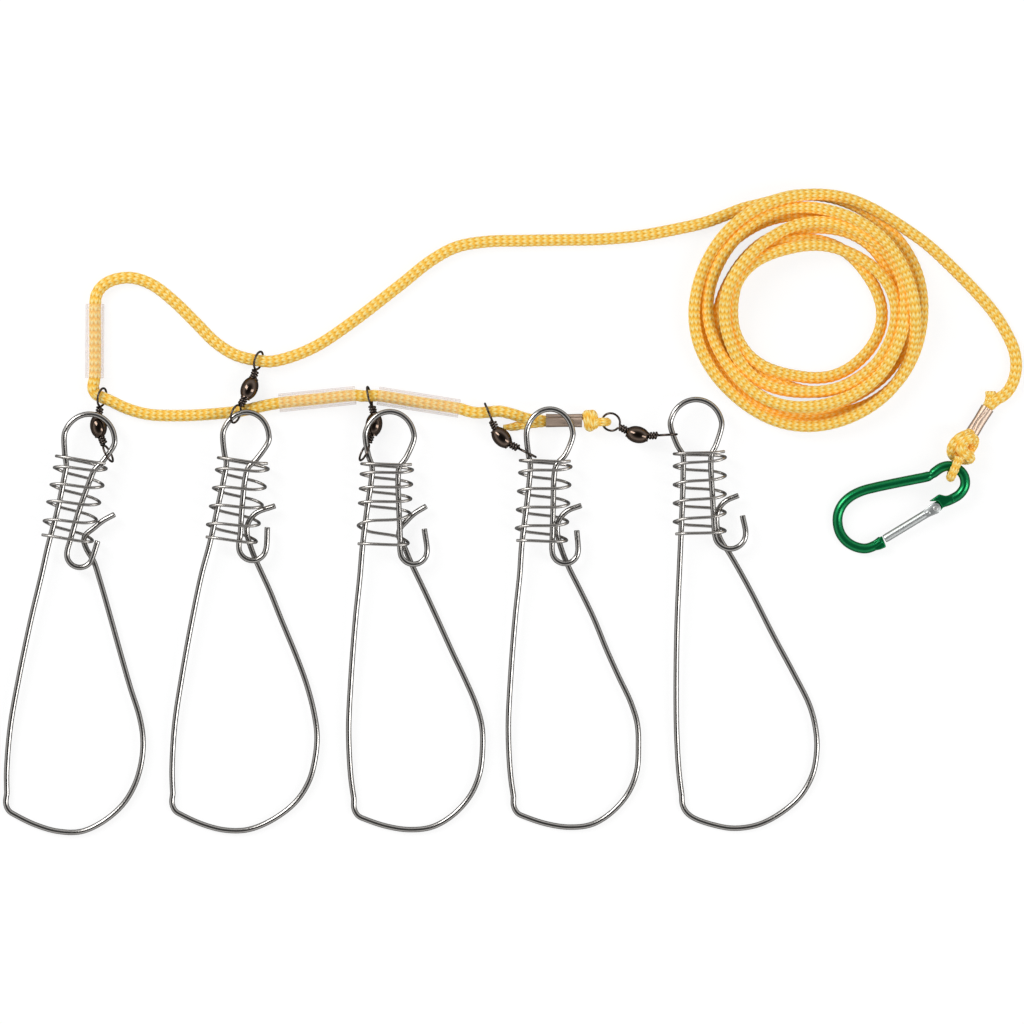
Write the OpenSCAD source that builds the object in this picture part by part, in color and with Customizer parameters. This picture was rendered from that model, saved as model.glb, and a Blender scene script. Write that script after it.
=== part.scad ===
// Fish stringer: knitted rope with five swivel snaps, spacer tubes and a clip, laid flat on a table

/* [Rope] */
// Thickness of the knitted rope
rope_diameter = 4.7; // [4.4:0.1:4.7]
// Thickness of the rope where a knot pulls it into a loop at swivel 5
loop_diameter = 3.8; // [3.6:0.1:3.8]
// Thickness of the rope strap round the carabiner bar
strap_diameter = 3.5; // [3.4:0.05:3.5]
// Outside diameter of the clear spacer tubes
spacer_outside = 7.4; // [7.2:0.1:7.6]
// Wall thickness of the clear spacer tubes
spacer_wall = 0.55; // [0.4:0.05:0.6]
// Widest diameter of the knot beside swivel 5
end_knot_diameter = 9; // [8.6:0.1:9]
// Widest diameter of the knot beside the carabiner
clip_knot_diameter = 12.4; // [12:0.1:12.4]

/* [Swivels] */
// Diameter of the wire of the swivel eyes
eye_wire = 0.9; // [0.8:0.05:0.9]
// Clear inside diameter of the swivel eyes
eye_bore = 6.4; // [6.3:0.05:6.5]
// Widest diameter of the barrel
barrel_diameter = 6.8; // [6.6:0.1:6.8]
// Length of the barrel
barrel_length = 9; // [8.8:0.1:9.2]
// Diameter of the round heads held inside the barrel
head_diameter = 4.2; // [4.1:0.05:4.2]
// Diameter of the wire wraps beside each eye
wrap_diameter = 3.2; // [3:0.1:3.3]

/* [Snaps] */
// Diameter of the snap wire
snap_wire = 2.2; // [2:0.1:2.2]
// Diameter of the lock spring wire
spring_wire = 1.2; // [1:0.1:1.2]
// Width of the lock spring between wire centres
spring_width = 19.2; // [19.2:0.1:19.6]
// Depth of the lock spring between wire centres
spring_depth = 10.8; // [10.7:0.1:10.8]
// Open turns of the lock spring
spring_turns = 4; // [4:1:4]

/* [Carabiner] */
// Diameter of the carabiner bar
bar_diameter = 4; // [3.8:0.1:4]
// Diameter of the gate
gate_diameter = 3.2; // [3:0.1:3.2]
// Diameter of the gate rivet
rivet_diameter = 1.5; // [1.4:0.1:1.6]

/* [Coil] */
// Distance between neighbouring loops of the rope coil
coil_pitch = 5.2; // [5.2:0.05:5.3]
// Radius of the outermost loop of the rope coil
coil_radius = 46.8; // [46.8:0.1:47]

/* [Hidden] */
$fn = 48;
clearance = 0.3;
joint_gap = 0.45;
fit = 0.2;
rope_sides = 10;
small_rope_sides = 8;
coil_sides = 6;
wire_sides = 8;
spring_sides = 6;
bar_sides = 12;
loop_rings = 24;
curl_rings = 8;
coil_far_rings = 20;
spring_far_rings = 6;
up_z = [0, 0, 1];
along_y = [0, 1, 0];
full_turn = 360;
half_turn = 180;
quarter_turn = 90;

// Free rope from the end knot past the five swivels to the coil, in table coordinates
rope_route = [
    [38.4, 59, 2.9], [31, 59, 2.9], [24, 59, 2.9], [17, 59.6, 2.7], [10.5, 61.6, 2.9],
    [5.5, 62.7, 3.5], [1, 62.4, 3.75], [-3.5, 62.1, 3.6], [-7, 62.7, 3.4], [-10.7, 63.8, 3.2],
    [-27.5, 66.4, 3.2], [-43.2, 68.9, 3.2], [-46.6, 68.9, 3.6], [-49.4, 68.8, 3.4], [-52.2, 69.1, 3.2],
    [-67.5, 67.6, 3.2], [-82.8, 66, 3.2], [-87, 65.3, 2.8], [-92, 64.2, 2.4], [-98.4, 62.8, 2.4],
    [-110, 61.6, 2.4], [-122, 61, 2.4], [-134.4, 61.4, 2.4], [-141, 62.9, 2.6], [-146, 64.8, 3.1],
    [-149.8, 66.7, 3.6], [-153.6, 68.3, 3.75], [-156.2, 69.8, 3.6], [-157.2, 72.4, 3.4], [-156.6, 76, 3.2],
    [-156.4, 91, 3.2], [-156.4, 105.6, 3.2], [-156, 109, 2.7], [-154, 112.4, 2.4], [-150, 115, 2.4],
    [-142.4, 116.2, 2.4], [-134, 113.6, 2.4], [-125, 106.8, 2.4], [-116.4, 98.4, 2.4], [-108.4, 90.4, 2.6],
    [-101, 85.6, 3.2], [-95.5, 83.8, 3.6], [-91, 83, 3.75], [-86.5, 82.6, 3.5], [-79, 84.2, 2.8],
    [-68, 88.8, 2.4], [-54.4, 97.8, 2.4], [-34.4, 113.2, 2.4], [-22, 123, 2.4], [-12, 128.4, 2.4],
    [0, 130.6, 2.4], [15, 131, 2.4], [30, 131.3, 2.4], [45.6, 131.6, 2.4], [61.6, 133, 2.4],
    [75, 135.4, 2.4], [88, 138.4, 2.4]
];
// Rope from the coil to the clip knot
lead_route = [
    [166, 136.4, 7.6], [172, 132.4, 7.4], [178, 127.8, 6.6], [187, 119.6, 4.2], [195.6, 111, 2.6],
    [202.6, 103, 2.4], [207.8, 95, 2.4], [211.4, 87, 2.4], [212.2, 80, 2.4], [210.6, 73.6, 2.4],
    [207.6, 69.4, 2.5], [204, 67.2, 2.7], [200.7, 64, 2.9], [197.4, 58.7, 2.9], [194.2, 53.5, 3],
    [193, 51.6, 3.4]
];
end_tail_route = [[7, 56.4, 1.8], [10, 56.4, 1.8], [13.5, 57, 1.8], [18, 57.6, 2.1], [23.6, 58.2, 2.6]];
end_tail_diameter = 3.4;
clip_tail_route = [[202, 70.4, 2.4], [201.9, 67.6, 2.4], [201, 64.8, 2.6]];
tail_diameter = 4.2;

// Clear tubes: two end points of each
spacer_ends = [
    [[-156.6, 76, 3.8], [-156.4, 105.6, 3.8]],
    [[-52.2, 69.1, 3.8], [-82.8, 66, 3.8]],
    [[-10.7, 63.8, 3.8], [-43.2, 68.9, 3.8]]
];

// Rope coil: centre, start angle and turns of its two layers
coil_centre = [129.6, 102.8];
coil_start = 112;
coil_turns_in = 3.25;
coil_turns_over = 0.5;
coil_turns_out = 3.394;
coil_floor = 2.4;
coil_turns = coil_turns_in + coil_turns_over + coil_turns_out;
coil_inner = coil_radius - coil_pitch * coil_turns_in;

// Swivels: ring centre of the upper eye and the direction, azimuth then rise, of eye, barrel and lower eye
eye_centres = [[-153.6, 68.3, 4.1], [-91, 83, 4.1], [-46.6, 68.9, 4.1], [1, 62.4, 4.1], [50, 58.4, 4.65]];
eye_turns = [[-100.7, -2.7], [-106.5, 0.6], [-76.6, -4.2], [-67.1, 11.2], [-29.1, 2.8]];
barrel_turns = [[-83, 7.5], [-112.6, 11.4], [-97.9, 0], [-47.4, 1.1], [-13.4, 5.4]];
link_turns = [[-66, 17], [-118.2, 20.4], [-111.8, 16.9], [-26.4, 1.8], [3.1, 5.2]];
wire_turns = [61.4, 206.8, -70.7, -73.7, -71.9];
eye_rolls = [90, 90, 90, 90, 0];
eye_reach = 9.2;
link_reach = 9.6;
head_apart = 2.6;
wrap_start = 3.75;
wrap_length = 2.6;
wrap_ribs = 3;
rib_steps = 5;
rib_depth = 0.35;
shank_diameter = 1.4;
barrel_opening = 3.8;
barrel_cavity = 5;
barrel_lip = 0.43;
barrel_end_diameter = 5;
barrel_shoulder_diameter = 6.3;
barrel_shoulder = 0.7;
eye_middle = (eye_bore + eye_wire) / 2;

// Snaps: ring centre, turn on the table, and share of the shorter left wire
snap_centres = [[-158.5, 50.8], [-96, 51.6], [-38.5, 51.8], [25.4, 52.8], [83.9, 56.6]];
snap_turns = [-11, -9.4, -3.4, -3.4, 0];
short_shares = [1, 1, 1, 1, 0];
snap_height = 7.85;
snap_tilt = 2.38;
ring_radius = 10.7;
ring_from = -25;
ring_to = 205;
ring_steps = 16;
hook_centres = [[4.9, -45.3], [9.7, -42.1], [12.2, -44.3], [8.9, -45.4], [13.7, -42.8]];
hook_radii = [5.2, 5.5, 5.4, 5.2, 6.2];
hook_steps = 6;
hook_tips = [[10.9, -38.8], [14.3, -33.6], [16, -35.4], [13.1, -37.2], [18.6, -35.8]];
rail_spring_width = 19.2;
rail_share = spring_width / rail_spring_width;
right_rails = [
    [[0.1, -40], [1.3, -28], [3.4, -15], [4.2, -11.2], [6.7, -7.4]],
    [[4.1, -38], [3.1, -28], [2.4, -15], [2.9, -11.2], [5.6, -7.4]],
    [[6.6, -40], [5.4, -28], [4.3, -15], [4.6, -11.2], [7, -7.4]],
    [[3.5, -40], [3.1, -28], [2.8, -15], [3.5, -11.2], [6.6, -7.4]],
    [[7.3, -40], [6.6, -28], [5.9, -15], [6.2, -11.2], [8, -7.4]]
];
left_rails = [
    [[-8.4, -7.4], [-7.1, -11.2], [-7, -17], [-7.2, -30], [-8.2, -44]],
    [[-7.3, -7.4], [-6, -10.6], [-6, -17.6], [-6.6, -30], [-7.4, -44]],
    [[-8, -7.4], [-6.3, -11.6], [-6.3, -17.6], [-7.4, -30], [-8.3, -44]],
    [[-8.1, -7.4], [-7, -11.8], [-7, -19], [-7.6, -30], [-8.5, -44]],
    [[-7.6, -7.4], [-5.2, -11.6], [-5.1, -17], [-5.4, -30], [-6, -44]]
];
left_wire_long = [[-6.6, -58], [-7.4, -77], [-7.8, -100], [-7.6, -122], [-6.7, -138], [-5.6, -147]];
left_wire_short = [[-8.6, -56], [-9.4, -74], [-9.8, -98], [-9.5, -118], [-7.6, -136], [-5.9, -144.6]];
// Bottom curve, bulging arm and finger of each snap, from the hinge end to the tip of the finger
arm_routes = [
    [
        [-5.8, -145.05], [-5.5, -148.9], [-3.8, -151.6], [-0.4, -153], [8, -155.2], [17, -156],
        [26, -154.4], [33.6, -149.2], [40.4, -140.8], [43.8, -131.8], [44.7, -121.8],
        [43.5, -112.8], [40.4, -104.4], [35, -94.5], [29.7, -84.2], [21.8, -68.4], [14.8, -54.6],
        [10.6, -47], [7, -42.9], [5.2, -39.6], [5.6, -37.2], [8.1, -34.2], [11.3, -30.4],
        [15.3, -27.1]
    ],
    [
        [-5.8, -145.05], [-5.5, -148.9], [-3.8, -151.6], [-0.4, -153], [8, -155.2], [17, -156],
        [26, -154.4], [35.1, -148.9], [43.1, -140.4], [47.1, -131.3], [48.1, -121.2],
        [47.3, -112.2], [44.7, -103.8], [40.2, -93.6], [34.5, -83.4], [25.4, -68.7],
        [19.3, -58.6], [14.6, -51.6], [10.9, -46], [8.4, -41.5], [6.6, -37.5], [6.2, -33.8],
        [8.7, -28.8], [15.8, -24.6]
    ],
    [
        [-5.8, -145.05], [-5.5, -148.9], [-3.8, -151.6], [-0.4, -153], [8, -155.2], [17, -156],
        [26, -154.4], [34, -149.2], [40.6, -140.9], [43.8, -131.9], [44.4, -121.9],
        [43.6, -112.9], [40.8, -104.5], [35.8, -94.5], [30.2, -84.3], [23.2, -71], [17.6, -60.5],
        [11.6, -49.6], [7.8, -42], [6, -39.2], [6.2, -36], [8.6, -32.8], [11.6, -29.5],
        [16.1, -26.3]
    ],
    [
        [-5.8, -145.05], [-5.5, -148.9], [-3.8, -151.6], [-0.4, -153], [8, -155.2], [17, -156],
        [26, -154.4], [33.6, -149.2], [39.9, -141], [42.8, -132], [42.9, -122], [41.9, -113],
        [38.8, -104.6], [33.4, -94.7], [28, -84.4], [22.1, -72.1], [15.8, -60.8], [11.1, -52.7],
        [8, -46.4], [6.4, -42.1], [5.4, -38.2], [5.6, -34], [8.6, -29.8], [14.2, -27.1]
    ],
    [
        [-5.5, -147.45], [-5.2, -151.6], [-3.6, -154.6], [-0.6, -156.9], [7, -159.6],
        [15.3, -161], [25, -159.6], [34, -155], [42, -148], [46.8, -139.4], [48.5, -130],
        [48.1, -121.5], [45.7, -112], [39, -98.5], [31.4, -84.4], [20.9, -63.9], [13.3, -50.6],
        [10.6, -46.6], [9.2, -43.4], [8.5, -39.8], [8.5, -35.6], [9.9, -32], [12.3, -29.7],
        [16.9, -27.7]
    ]
];
arm_drops = [
    0, 0, 0, 0, 0, 0, 0, 0, 0, 0, -0.1, -0.3, -0.6, -1, -1.5, -2, -2.4, -2.6,
    -2.6, -2.6, -2.5, -2.2, -1.7, -1.2
];

// Lock springs: middle line and lower end of each, closed ends and the flattening of their oval
spring_middles = [-1.4, 0.7, -0.3, -0.9, 1.5];
spring_bottoms = [-40.4, -41.2, -42.8, -42.5, -43];
spring_first_shares = [0.29, 0.25, 0.41, 0.25, 0.25];
spring_closed = 2.4;
spring_open_length = 29.6;
spring_lower_turns = 0.5;
spring_upper_turns = 1;
spring_power = 0.5;
spring_half_step = 0.5;

// Carabiner: bar from the pivot round the small bow, the spine and the big bow to the nose
bar_route = [
    [181.9, 26], [185.4, 27.2], [189.4, 29.6], [191.4, 33], [191, 36.8], [188.6, 39.6], [185.6, 40.8],
    [182.4, 40.2], [179.6, 38.2], [176.6, 36.7], [172, 35.6], [164, 34]
];
carabiner_low = 2.1;
carabiner_slope = 0.0765;
carabiner_rise_turn = 33.7;
pivot = [179.6, 23.9];
gate_turn = 211.4;
gate_length = 23.4;
nose_gap = 0.61;
big_bow = 24;
bow_shares = [
    [-0.129, 0.871], [-0.3625, 0.808], [-0.546, 0.717], [-0.679, 0.592], [-0.754, 0.433],
    [-0.7625, 0.258], [-0.7125, 0.092], [-0.604, -0.042], [-0.454, -0.125], [-0.296, -0.15],
    [-0.146, -0.1]
];
corner_shares = [-0.5875, 0.025];
nose_end = pivot + (gate_length + nose_gap) * [cos(gate_turn), sin(gate_turn)];
bar_line = concat(bar_route, [for (share = bow_shares) nose_end + big_bow * share], [nose_end]);
carabiner_corner = nose_end + big_bow * corner_shares;
gate_bore = 2.2;
gate_bore_depth = 7;
gate_bore_start = 5.2;
pivot_block = 7;
pivot_block_height = 5;
gate_eye_diameter = 4.6;
gate_eye_height = 2.2;
pivot_slot = gate_eye_height + 3 * clearance;
rivet_head = 2.8;
rivet_head_height = 0.5;
closing_spring_wire = 0.35;
closing_spring_turns = 5;
closing_spring_diameter = 1.5;
closing_spring_pitch = 1;

// Knots, loops and ferrules
end_knot_from = [38.6, 58.9];
end_knot_length = 6;
clip_knot_length = 11;
knot_ribs = 3;
knot_steps = 6;
knot_rib_depth = 1.1;
knot_end_share = 0.72;
loop_leg = 2.6;
loop_steps = 8;
strap_point = [187.2, 40];
strap_turn = 68;
strap_leg = 4.6;
strap_steps = 8;
knot_offset = 9;
ferrule_outside = 5.8;
ferrule_bore = 4.9;
ferrule_seam = 0.8;
end_ferrule_ends = [[24, 59, 2.9], [38.4, 59, 2.9]];
clip_ferrule_ends = [[200.7, 64, 2.9], [194.2, 53.5, 2.9]];

// Vector helpers
function unit(v) = v / norm(v);
function way(turn, rise) = [cos(rise) * cos(turn), cos(rise) * sin(turn), sin(rise)];
function segment(p, i) = unit(p[i + 1] - p[i]);
function tangent(p, i) =
    i == 0 ? segment(p, 0)
    : i == len(p) - 1 ? segment(p, i - 1)
    : unit(segment(p, i - 1) + segment(p, i));
function ring(p, i, radius, sides, up) =
    let (t = tangent(p, i), side = unit(cross(t, up)), normal = cross(side, t))
    [for (k = [0 : sides - 1])
        let (a = full_turn * (k + 0.5) / sides)
        p[i] + radius * (cos(a) * side + sin(a) * normal)];
function flatten(lists) = [for (list = lists) each list];
function mix(a, b, share) = [for (i = [0 : len(a) - 1]) a[i] * share + b[i] * (1 - share)];
function with_height(p, heights) = [for (i = [0 : len(p) - 1]) [p[i][0], p[i][1], heights[i]]];
function flat(p) = [for (q = p) [q[0], q[1], 0]];
function power(x) = sign(x) * pow(abs(x), spring_power);

// Tube with flat ends along a list of points
module tube(p, diameter, sides, up = up_z) {
    points = flatten([for (i = [0 : len(p) - 1]) ring(p, i, diameter / 2, sides, up)]);
    last = (len(p) - 1) * sides;
    start_cap = [for (k = [1 : sides - 2]) [0, k + 1, k]];
    end_cap = [for (k = [1 : sides - 2]) [last, last + k, last + k + 1]];
    skin = flatten([for (i = [0 : len(p) - 2]) flatten([for (k = [0 : sides - 1])
        let (a = i * sides + k, b = i * sides + (k + 1) % sides)
        [[a, b, b + sides], [a, b + sides, a + sides]]])]);
    polyhedron(points = points, faces = concat(start_cap, skin, end_cap));
}

// Turns the children so that their Z axis points along a direction
module aimed(point, turn, rise) {
    translate(point) rotate([0, quarter_turn - rise, turn]) children();
}

// Least distance between the skins of the loops of a coil, from its points
function self_gap(p, diameter, apart) = min([
    for (i = [0 : 4 : len(p) - 1]) for (j = [i + apart : 1 : len(p) - 1]) norm(p[i] - p[j]) - diameter]);

// Rope coil centre line
function coil_ring_radius(s) =
    s < coil_turns_in ? coil_radius - coil_pitch * s
    : s < coil_turns_in + coil_turns_over
        ? let (t = s - coil_turns_in) coil_inner - coil_pitch * t * (1 - t / coil_turns_over)
    : coil_inner + coil_pitch * (s - coil_turns_in - coil_turns_over);
function climb_share(s) =
    let (t = min(1, max(0, (s - coil_turns_in) / coil_turns_over))) t * t * (3 - 2 * t);
function coil_point(s) =
    let (a = coil_start - full_turn * s, r = coil_ring_radius(s))
    [coil_centre[0] + r * cos(a), coil_centre[1] + r * sin(a), coil_floor + coil_pitch * climb_share(s)];
coil_count = round(coil_turns * loop_rings);
coil_loops = [for (i = [0 : coil_count]) coil_point(coil_turns * i / coil_count)];
coil_in_way = segment(coil_loops, 0);
coil_out_way = segment(coil_loops, coil_count - 1);
coil_entry = coil_loops[0] - coil_in_way * rope_diameter;
coil_exit = coil_loops[coil_count] + coil_out_way * rope_diameter;
coil_line = concat([coil_entry], coil_loops, [coil_exit]);
echo(coil_gap = self_gap(coil_loops, rope_diameter, coil_far_rings));

// Lock spring centre line, in the plane of its snap
spring_all_turns = spring_lower_turns + spring_turns + spring_upper_turns;
function spring_rise(t, first) =
    t < 1 ? first * t : first + (1 - first) * (t - 1) / (spring_turns - 1);
function spring_height(s, i) =
    let (t = s - spring_lower_turns)
    spring_bottoms[i] + spring_closed * spring_lower_turns
        + (t < 0 ? spring_closed * t
            : t < spring_turns ? spring_open_length * spring_rise(t, spring_first_shares[i])
            : spring_open_length + spring_closed * (t - spring_turns));
spring_corner = pow(cos(half_turn / curl_rings), spring_power);
function spring_point(s, i) =
    let (a = full_turn * (s - spring_lower_turns))
    [spring_middles[i] + spring_width / 2 * power(cos(a)) / spring_corner, spring_height(s, i),
        -spring_depth / 2 * power(sin(a)) / spring_corner];
function spring_line(i) =
    [for (k = [0 : spring_all_turns * curl_rings - 1]) spring_point((k + spring_half_step) / curl_rings, i)];
echo(spring_gap = self_gap(spring_line(0), spring_wire, spring_far_rings));

// Snap frame of number i, from the tip of the hook to the hinge end of the left wire
function ring_arc() = [for (k = [0 : ring_steps])
    let (a = ring_from + (ring_to - ring_from) * k / ring_steps)
    [ring_radius * cos(a), ring_radius * sin(a)]];
function hook_arc(i) = [for (k = [0 : hook_steps])
    let (a = -half_turn * k / hook_steps)
    hook_centres[i] + hook_radii[i] * [cos(a), sin(a)]];
function rail_points(rail) = [for (p = rail) [p[0] * rail_share, p[1]]];
function frame_line(i) = flat(concat(
    [hook_tips[i]], hook_arc(i), rail_points(right_rails[i]),
    ring_arc(),
    rail_points(left_rails[i]),
    mix(left_wire_short, left_wire_long, short_shares[i])));
function arm_line(i) = with_height(arm_routes[i], arm_drops);

// Puts the children on the snap of number i
module on_snap(i) {
    translate([snap_centres[i][0], snap_centres[i][1], snap_height])
        rotate([0, 0, snap_turns[i]])
        rotate([snap_tilt, 0, 0])
        children();
}

module snap_frame(i) {
    color("silver") on_snap(i) tube(frame_line(i), snap_wire, wire_sides);
}

module snap_arm(i) {
    color("silver") on_snap(i) tube(arm_line(i), snap_wire, wire_sides);
}

module lock_spring(i) {
    color("gainsboro") on_snap(i)
        tube(spring_line(i), spring_wire, spring_sides, along_y);
}

// Eye with wraps, shank and head: ring centre at the origin, head up the Z axis
module eye_wire_piece(reach, roll) {
    rotate([0, 0, roll]) rotate([quarter_turn, 0, 0])
        rotate_extrude() translate([eye_middle, 0]) circle(d = eye_wire);
    translate([0, 0, eye_middle]) cylinder(d = shank_diameter, h = reach - eye_middle);
    translate([0, 0, wrap_start]) rotate_extrude() polygon(concat(
        [[0, 0]],
        [for (k = [0 : wrap_ribs * rib_steps])
            [wrap_diameter / 2 - rib_depth * (1 - abs(sin(half_turn * k / rib_steps))),
                wrap_length * k / (wrap_ribs * rib_steps)]],
        [[0, wrap_length]]));
    translate([0, 0, reach]) sphere(d = head_diameter);
}

function upper_head(i) = eye_centres[i] + eye_reach * way(eye_turns[i][0], eye_turns[i][1]);
function barrel_way(i) = way(barrel_turns[i][0], barrel_turns[i][1]);
function lower_head(i) = upper_head(i) + 2 * head_apart * barrel_way(i);
function link_way(i) = way(link_turns[i][0], link_turns[i][1]);
function link_centre(i) = lower_head(i) + link_reach * link_way(i);

// Roll of the lower eye that lets the ring wire through
function link_roll(i) =
    let (t = way(wire_turns[i], 0), turn = link_turns[i][0] + half_turn, rise = -link_turns[i][1],
        x = [sin(rise) * cos(turn), sin(rise) * sin(turn), -cos(rise)], y = [-sin(turn), cos(turn), 0])
    atan2(t * y, t * x) - quarter_turn;

module swivel_eye(i) {
    color("dimgray") aimed(eye_centres[i], eye_turns[i][0], eye_turns[i][1])
        eye_wire_piece(eye_reach, eye_rolls[i] - quarter_turn);
}

module swivel_link(i) {
    color("dimgray") aimed(link_centre(i), link_turns[i][0] + half_turn, -link_turns[i][1])
        eye_wire_piece(link_reach, link_roll(i));
}

module swivel_barrel(i) {
    half = barrel_length / 2;
    color("gray") aimed(upper_head(i) + head_apart * barrel_way(i), barrel_turns[i][0], barrel_turns[i][1])
        rotate_extrude() polygon([
            [barrel_opening / 2, -half], [barrel_end_diameter / 2, -half],
            [barrel_shoulder_diameter / 2, -half + barrel_shoulder],
            [barrel_diameter / 2, -half / 2], [barrel_diameter / 2, half / 2],
            [barrel_shoulder_diameter / 2, half - barrel_shoulder],
            [barrel_end_diameter / 2, half], [barrel_opening / 2, half],
            [barrel_opening / 2, half - barrel_lip], [barrel_cavity / 2, half - barrel_lip],
            [barrel_cavity / 2, -half + barrel_lip], [barrel_opening / 2, -half + barrel_lip]]);
}

// Rope pieces
module rope_stretch() {
    color("gold") tube(concat(rope_route, [coil_entry - coil_in_way * rope_diameter, coil_entry]),
        rope_diameter, rope_sides);
}

module rope_coil() {
    color("gold") tube(coil_line, rope_diameter, coil_sides);
}

module rope_lead() {
    color("gold") tube(concat([coil_exit, coil_exit + coil_out_way * rope_diameter], lead_route),
        rope_diameter, rope_sides);
}

module end_tail() {
    color("gold") tube(end_tail_route, end_tail_diameter, small_rope_sides);
}

module clip_tail() {
    color("gold") tube(clip_tail_route, tail_diameter, small_rope_sides);
}

// Knot with rounded strands round its axis, from one end face at the origin up the Z axis
module knot(diameter, length) {
    steps = knot_ribs * knot_steps;
    rotate_extrude() polygon(concat(
        [[0, 0]],
        [for (k = [0 : steps])
            let (swell = knot_end_share + (1 - knot_end_share) * sin(half_turn * k / steps))
            [diameter / 2 * swell - knot_rib_depth * (1 - abs(sin(half_turn * k / knot_steps))),
                length * k / steps]],
        [[0, length]]));
}

module end_knot() {
    color("goldenrod") aimed([end_knot_from[0], end_knot_from[1], end_knot_diameter / 2], 0, 0)
        knot(end_knot_diameter, end_knot_length);
}

function strap_spot(s, z) =
    [strap_point[0] + s * cos(strap_turn), strap_point[1] + s * sin(strap_turn), z];
function bar_height(p) = carabiner_low + carabiner_slope
    * ((p[0] - carabiner_corner[0]) * cos(carabiner_rise_turn)
        + (p[1] - carabiner_corner[1]) * sin(carabiner_rise_turn));

module clip_knot() {
    face = strap_spot(knot_offset - clip_knot_length / 2, clip_knot_diameter / 2);
    color("goldenrod") aimed(face, strap_turn, 0) knot(clip_knot_diameter, clip_knot_length);
}

loop_bend = loop_diameter / 2 + clearance + fit / 2 + eye_wire / 2;
module end_loop() {
    x = eye_centres[4][0] - eye_middle;
    z = eye_centres[4][2];
    line = concat(
        [[x - loop_leg, eye_centres[4][1], z + loop_bend]],
        [for (k = [0 : loop_steps])
            let (a = quarter_turn - half_turn * k / loop_steps)
            [x + loop_bend * cos(a), eye_centres[4][1], z + loop_bend * sin(a)]],
        [[x - loop_leg, eye_centres[4][1], z - loop_bend]]);
    color("gold") tube(line, loop_diameter, small_rope_sides, along_y);
}

strap_bend = strap_diameter / 2 + clearance + fit / 2 + bar_diameter / 2;
module clip_loop() {
    z = bar_height(strap_point);
    line = concat(
        [strap_spot(strap_leg, z + strap_bend)],
        [for (k = [0 : strap_steps])
            let (a = quarter_turn + half_turn * k / strap_steps)
            strap_spot(strap_bend * cos(a), z + strap_bend * sin(a))],
        [strap_spot(strap_leg, z - strap_bend)]);
    color("gold") tube(line, strap_diameter, small_rope_sides, [-sin(strap_turn), cos(strap_turn), 0]);
}

// Folded ferrule: thin tube with a seam along its top
module ferrule(ends) {
    d = ends[1] - ends[0];
    length = norm(d);
    aimed(ends[0], atan2(d[1], d[0]), 0) difference() {
        cylinder(d = ferrule_outside, h = length);
        translate([0, 0, -clearance]) cylinder(d = ferrule_bore, h = length + 2 * clearance);
        translate([-ferrule_outside, -ferrule_seam / 2, -clearance])
            cube([ferrule_outside, ferrule_seam, length + 2 * clearance]);
    }
}

module end_ferrule() {
    color("rosybrown") ferrule(end_ferrule_ends);
}

module clip_ferrule() {
    color("rosybrown") ferrule(clip_ferrule_ends);
}

module spacer_tube(i) {
    d = spacer_ends[i][1] - spacer_ends[i][0];
    length = norm(d);
    color("lavender") aimed(spacer_ends[i][0], atan2(d[1], d[0]), 0) difference() {
        cylinder(d = spacer_outside, h = length);
        translate([0, 0, -clearance])
            cylinder(d = spacer_outside - 2 * spacer_wall, h = length + 2 * clearance);
    }
}

// Carabiner
function raised(p) = [p[0], p[1], bar_height(p)];
pivot_point = raised(pivot);

module carabiner_body() {
    color("seagreen") {
        difference() {
            union() {
                tube([for (p = bar_line) raised(p)], bar_diameter, bar_sides);
                translate(pivot_point) translate([0, 0, -pivot_block_height / 2])
                    cylinder(d = pivot_block, h = pivot_block_height);
            }
            translate(pivot_point) translate([0, 0, -pivot_slot / 2])
                rotate([0, 0, gate_turn])
                translate([-gate_eye_diameter / 2 - clearance, -pivot_block, 0])
                cube([pivot_block + gate_eye_diameter, 2 * pivot_block, pivot_slot]);
            translate(pivot_point) translate([0, 0, -pivot_block_height])
                cylinder(d = rivet_diameter + fit, h = 2 * pivot_block_height);
        }
    }
}

module carabiner_rivet() {
    h = pivot_block_height / 2;
    color("silver") translate(pivot_point) {
        translate([0, 0, -h - rivet_head_height / 2]) cylinder(d = rivet_diameter, h = 2 * h + rivet_head_height);
        translate([0, 0, h]) cylinder(d = rivet_head, h = rivet_head_height);
        translate([0, 0, -h - rivet_head_height]) cylinder(d = rivet_head, h = rivet_head_height);
    }
}

gate_fall = -atan(carabiner_slope * cos(gate_turn - half_turn - carabiner_rise_turn));
gate_start = pivot_block / 2 + clearance;
module carabiner_gate() {
    color("silver") difference() {
        union() {
            translate(pivot_point) translate([0, 0, -gate_eye_height / 2])
                cylinder(d = gate_eye_diameter, h = gate_eye_height);
            aimed(pivot_point, gate_turn, gate_fall)
                translate([0, 0, gate_start])
                cylinder(d = gate_diameter, h = gate_length - gate_start);
            aimed(pivot_point, gate_turn, gate_fall)
                cylinder(d = gate_eye_height, h = gate_bore_start);
        }
        translate(pivot_point) translate([0, 0, -gate_diameter])
            cylinder(d = rivet_diameter + 2 * fit, h = 2 * gate_diameter);
        aimed(pivot_point, gate_turn, gate_fall) translate([0, 0, gate_bore_start])
            cylinder(d = gate_bore, h = gate_bore_depth);
    }
}

module gate_spring() {
    start = gate_bore_start + clearance;
    count = closing_spring_turns * curl_rings;
    line = [for (i = [0 : count])
        let (a = full_turn * i / curl_rings)
        [closing_spring_diameter / 2 * cos(a), closing_spring_diameter / 2 * sin(a),
            start + closing_spring_wire + closing_spring_pitch * i / curl_rings]];
    color("silver") aimed(pivot_point, gate_turn, gate_fall)
        tube(line, closing_spring_wire, spring_sides, up_z);
}

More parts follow.
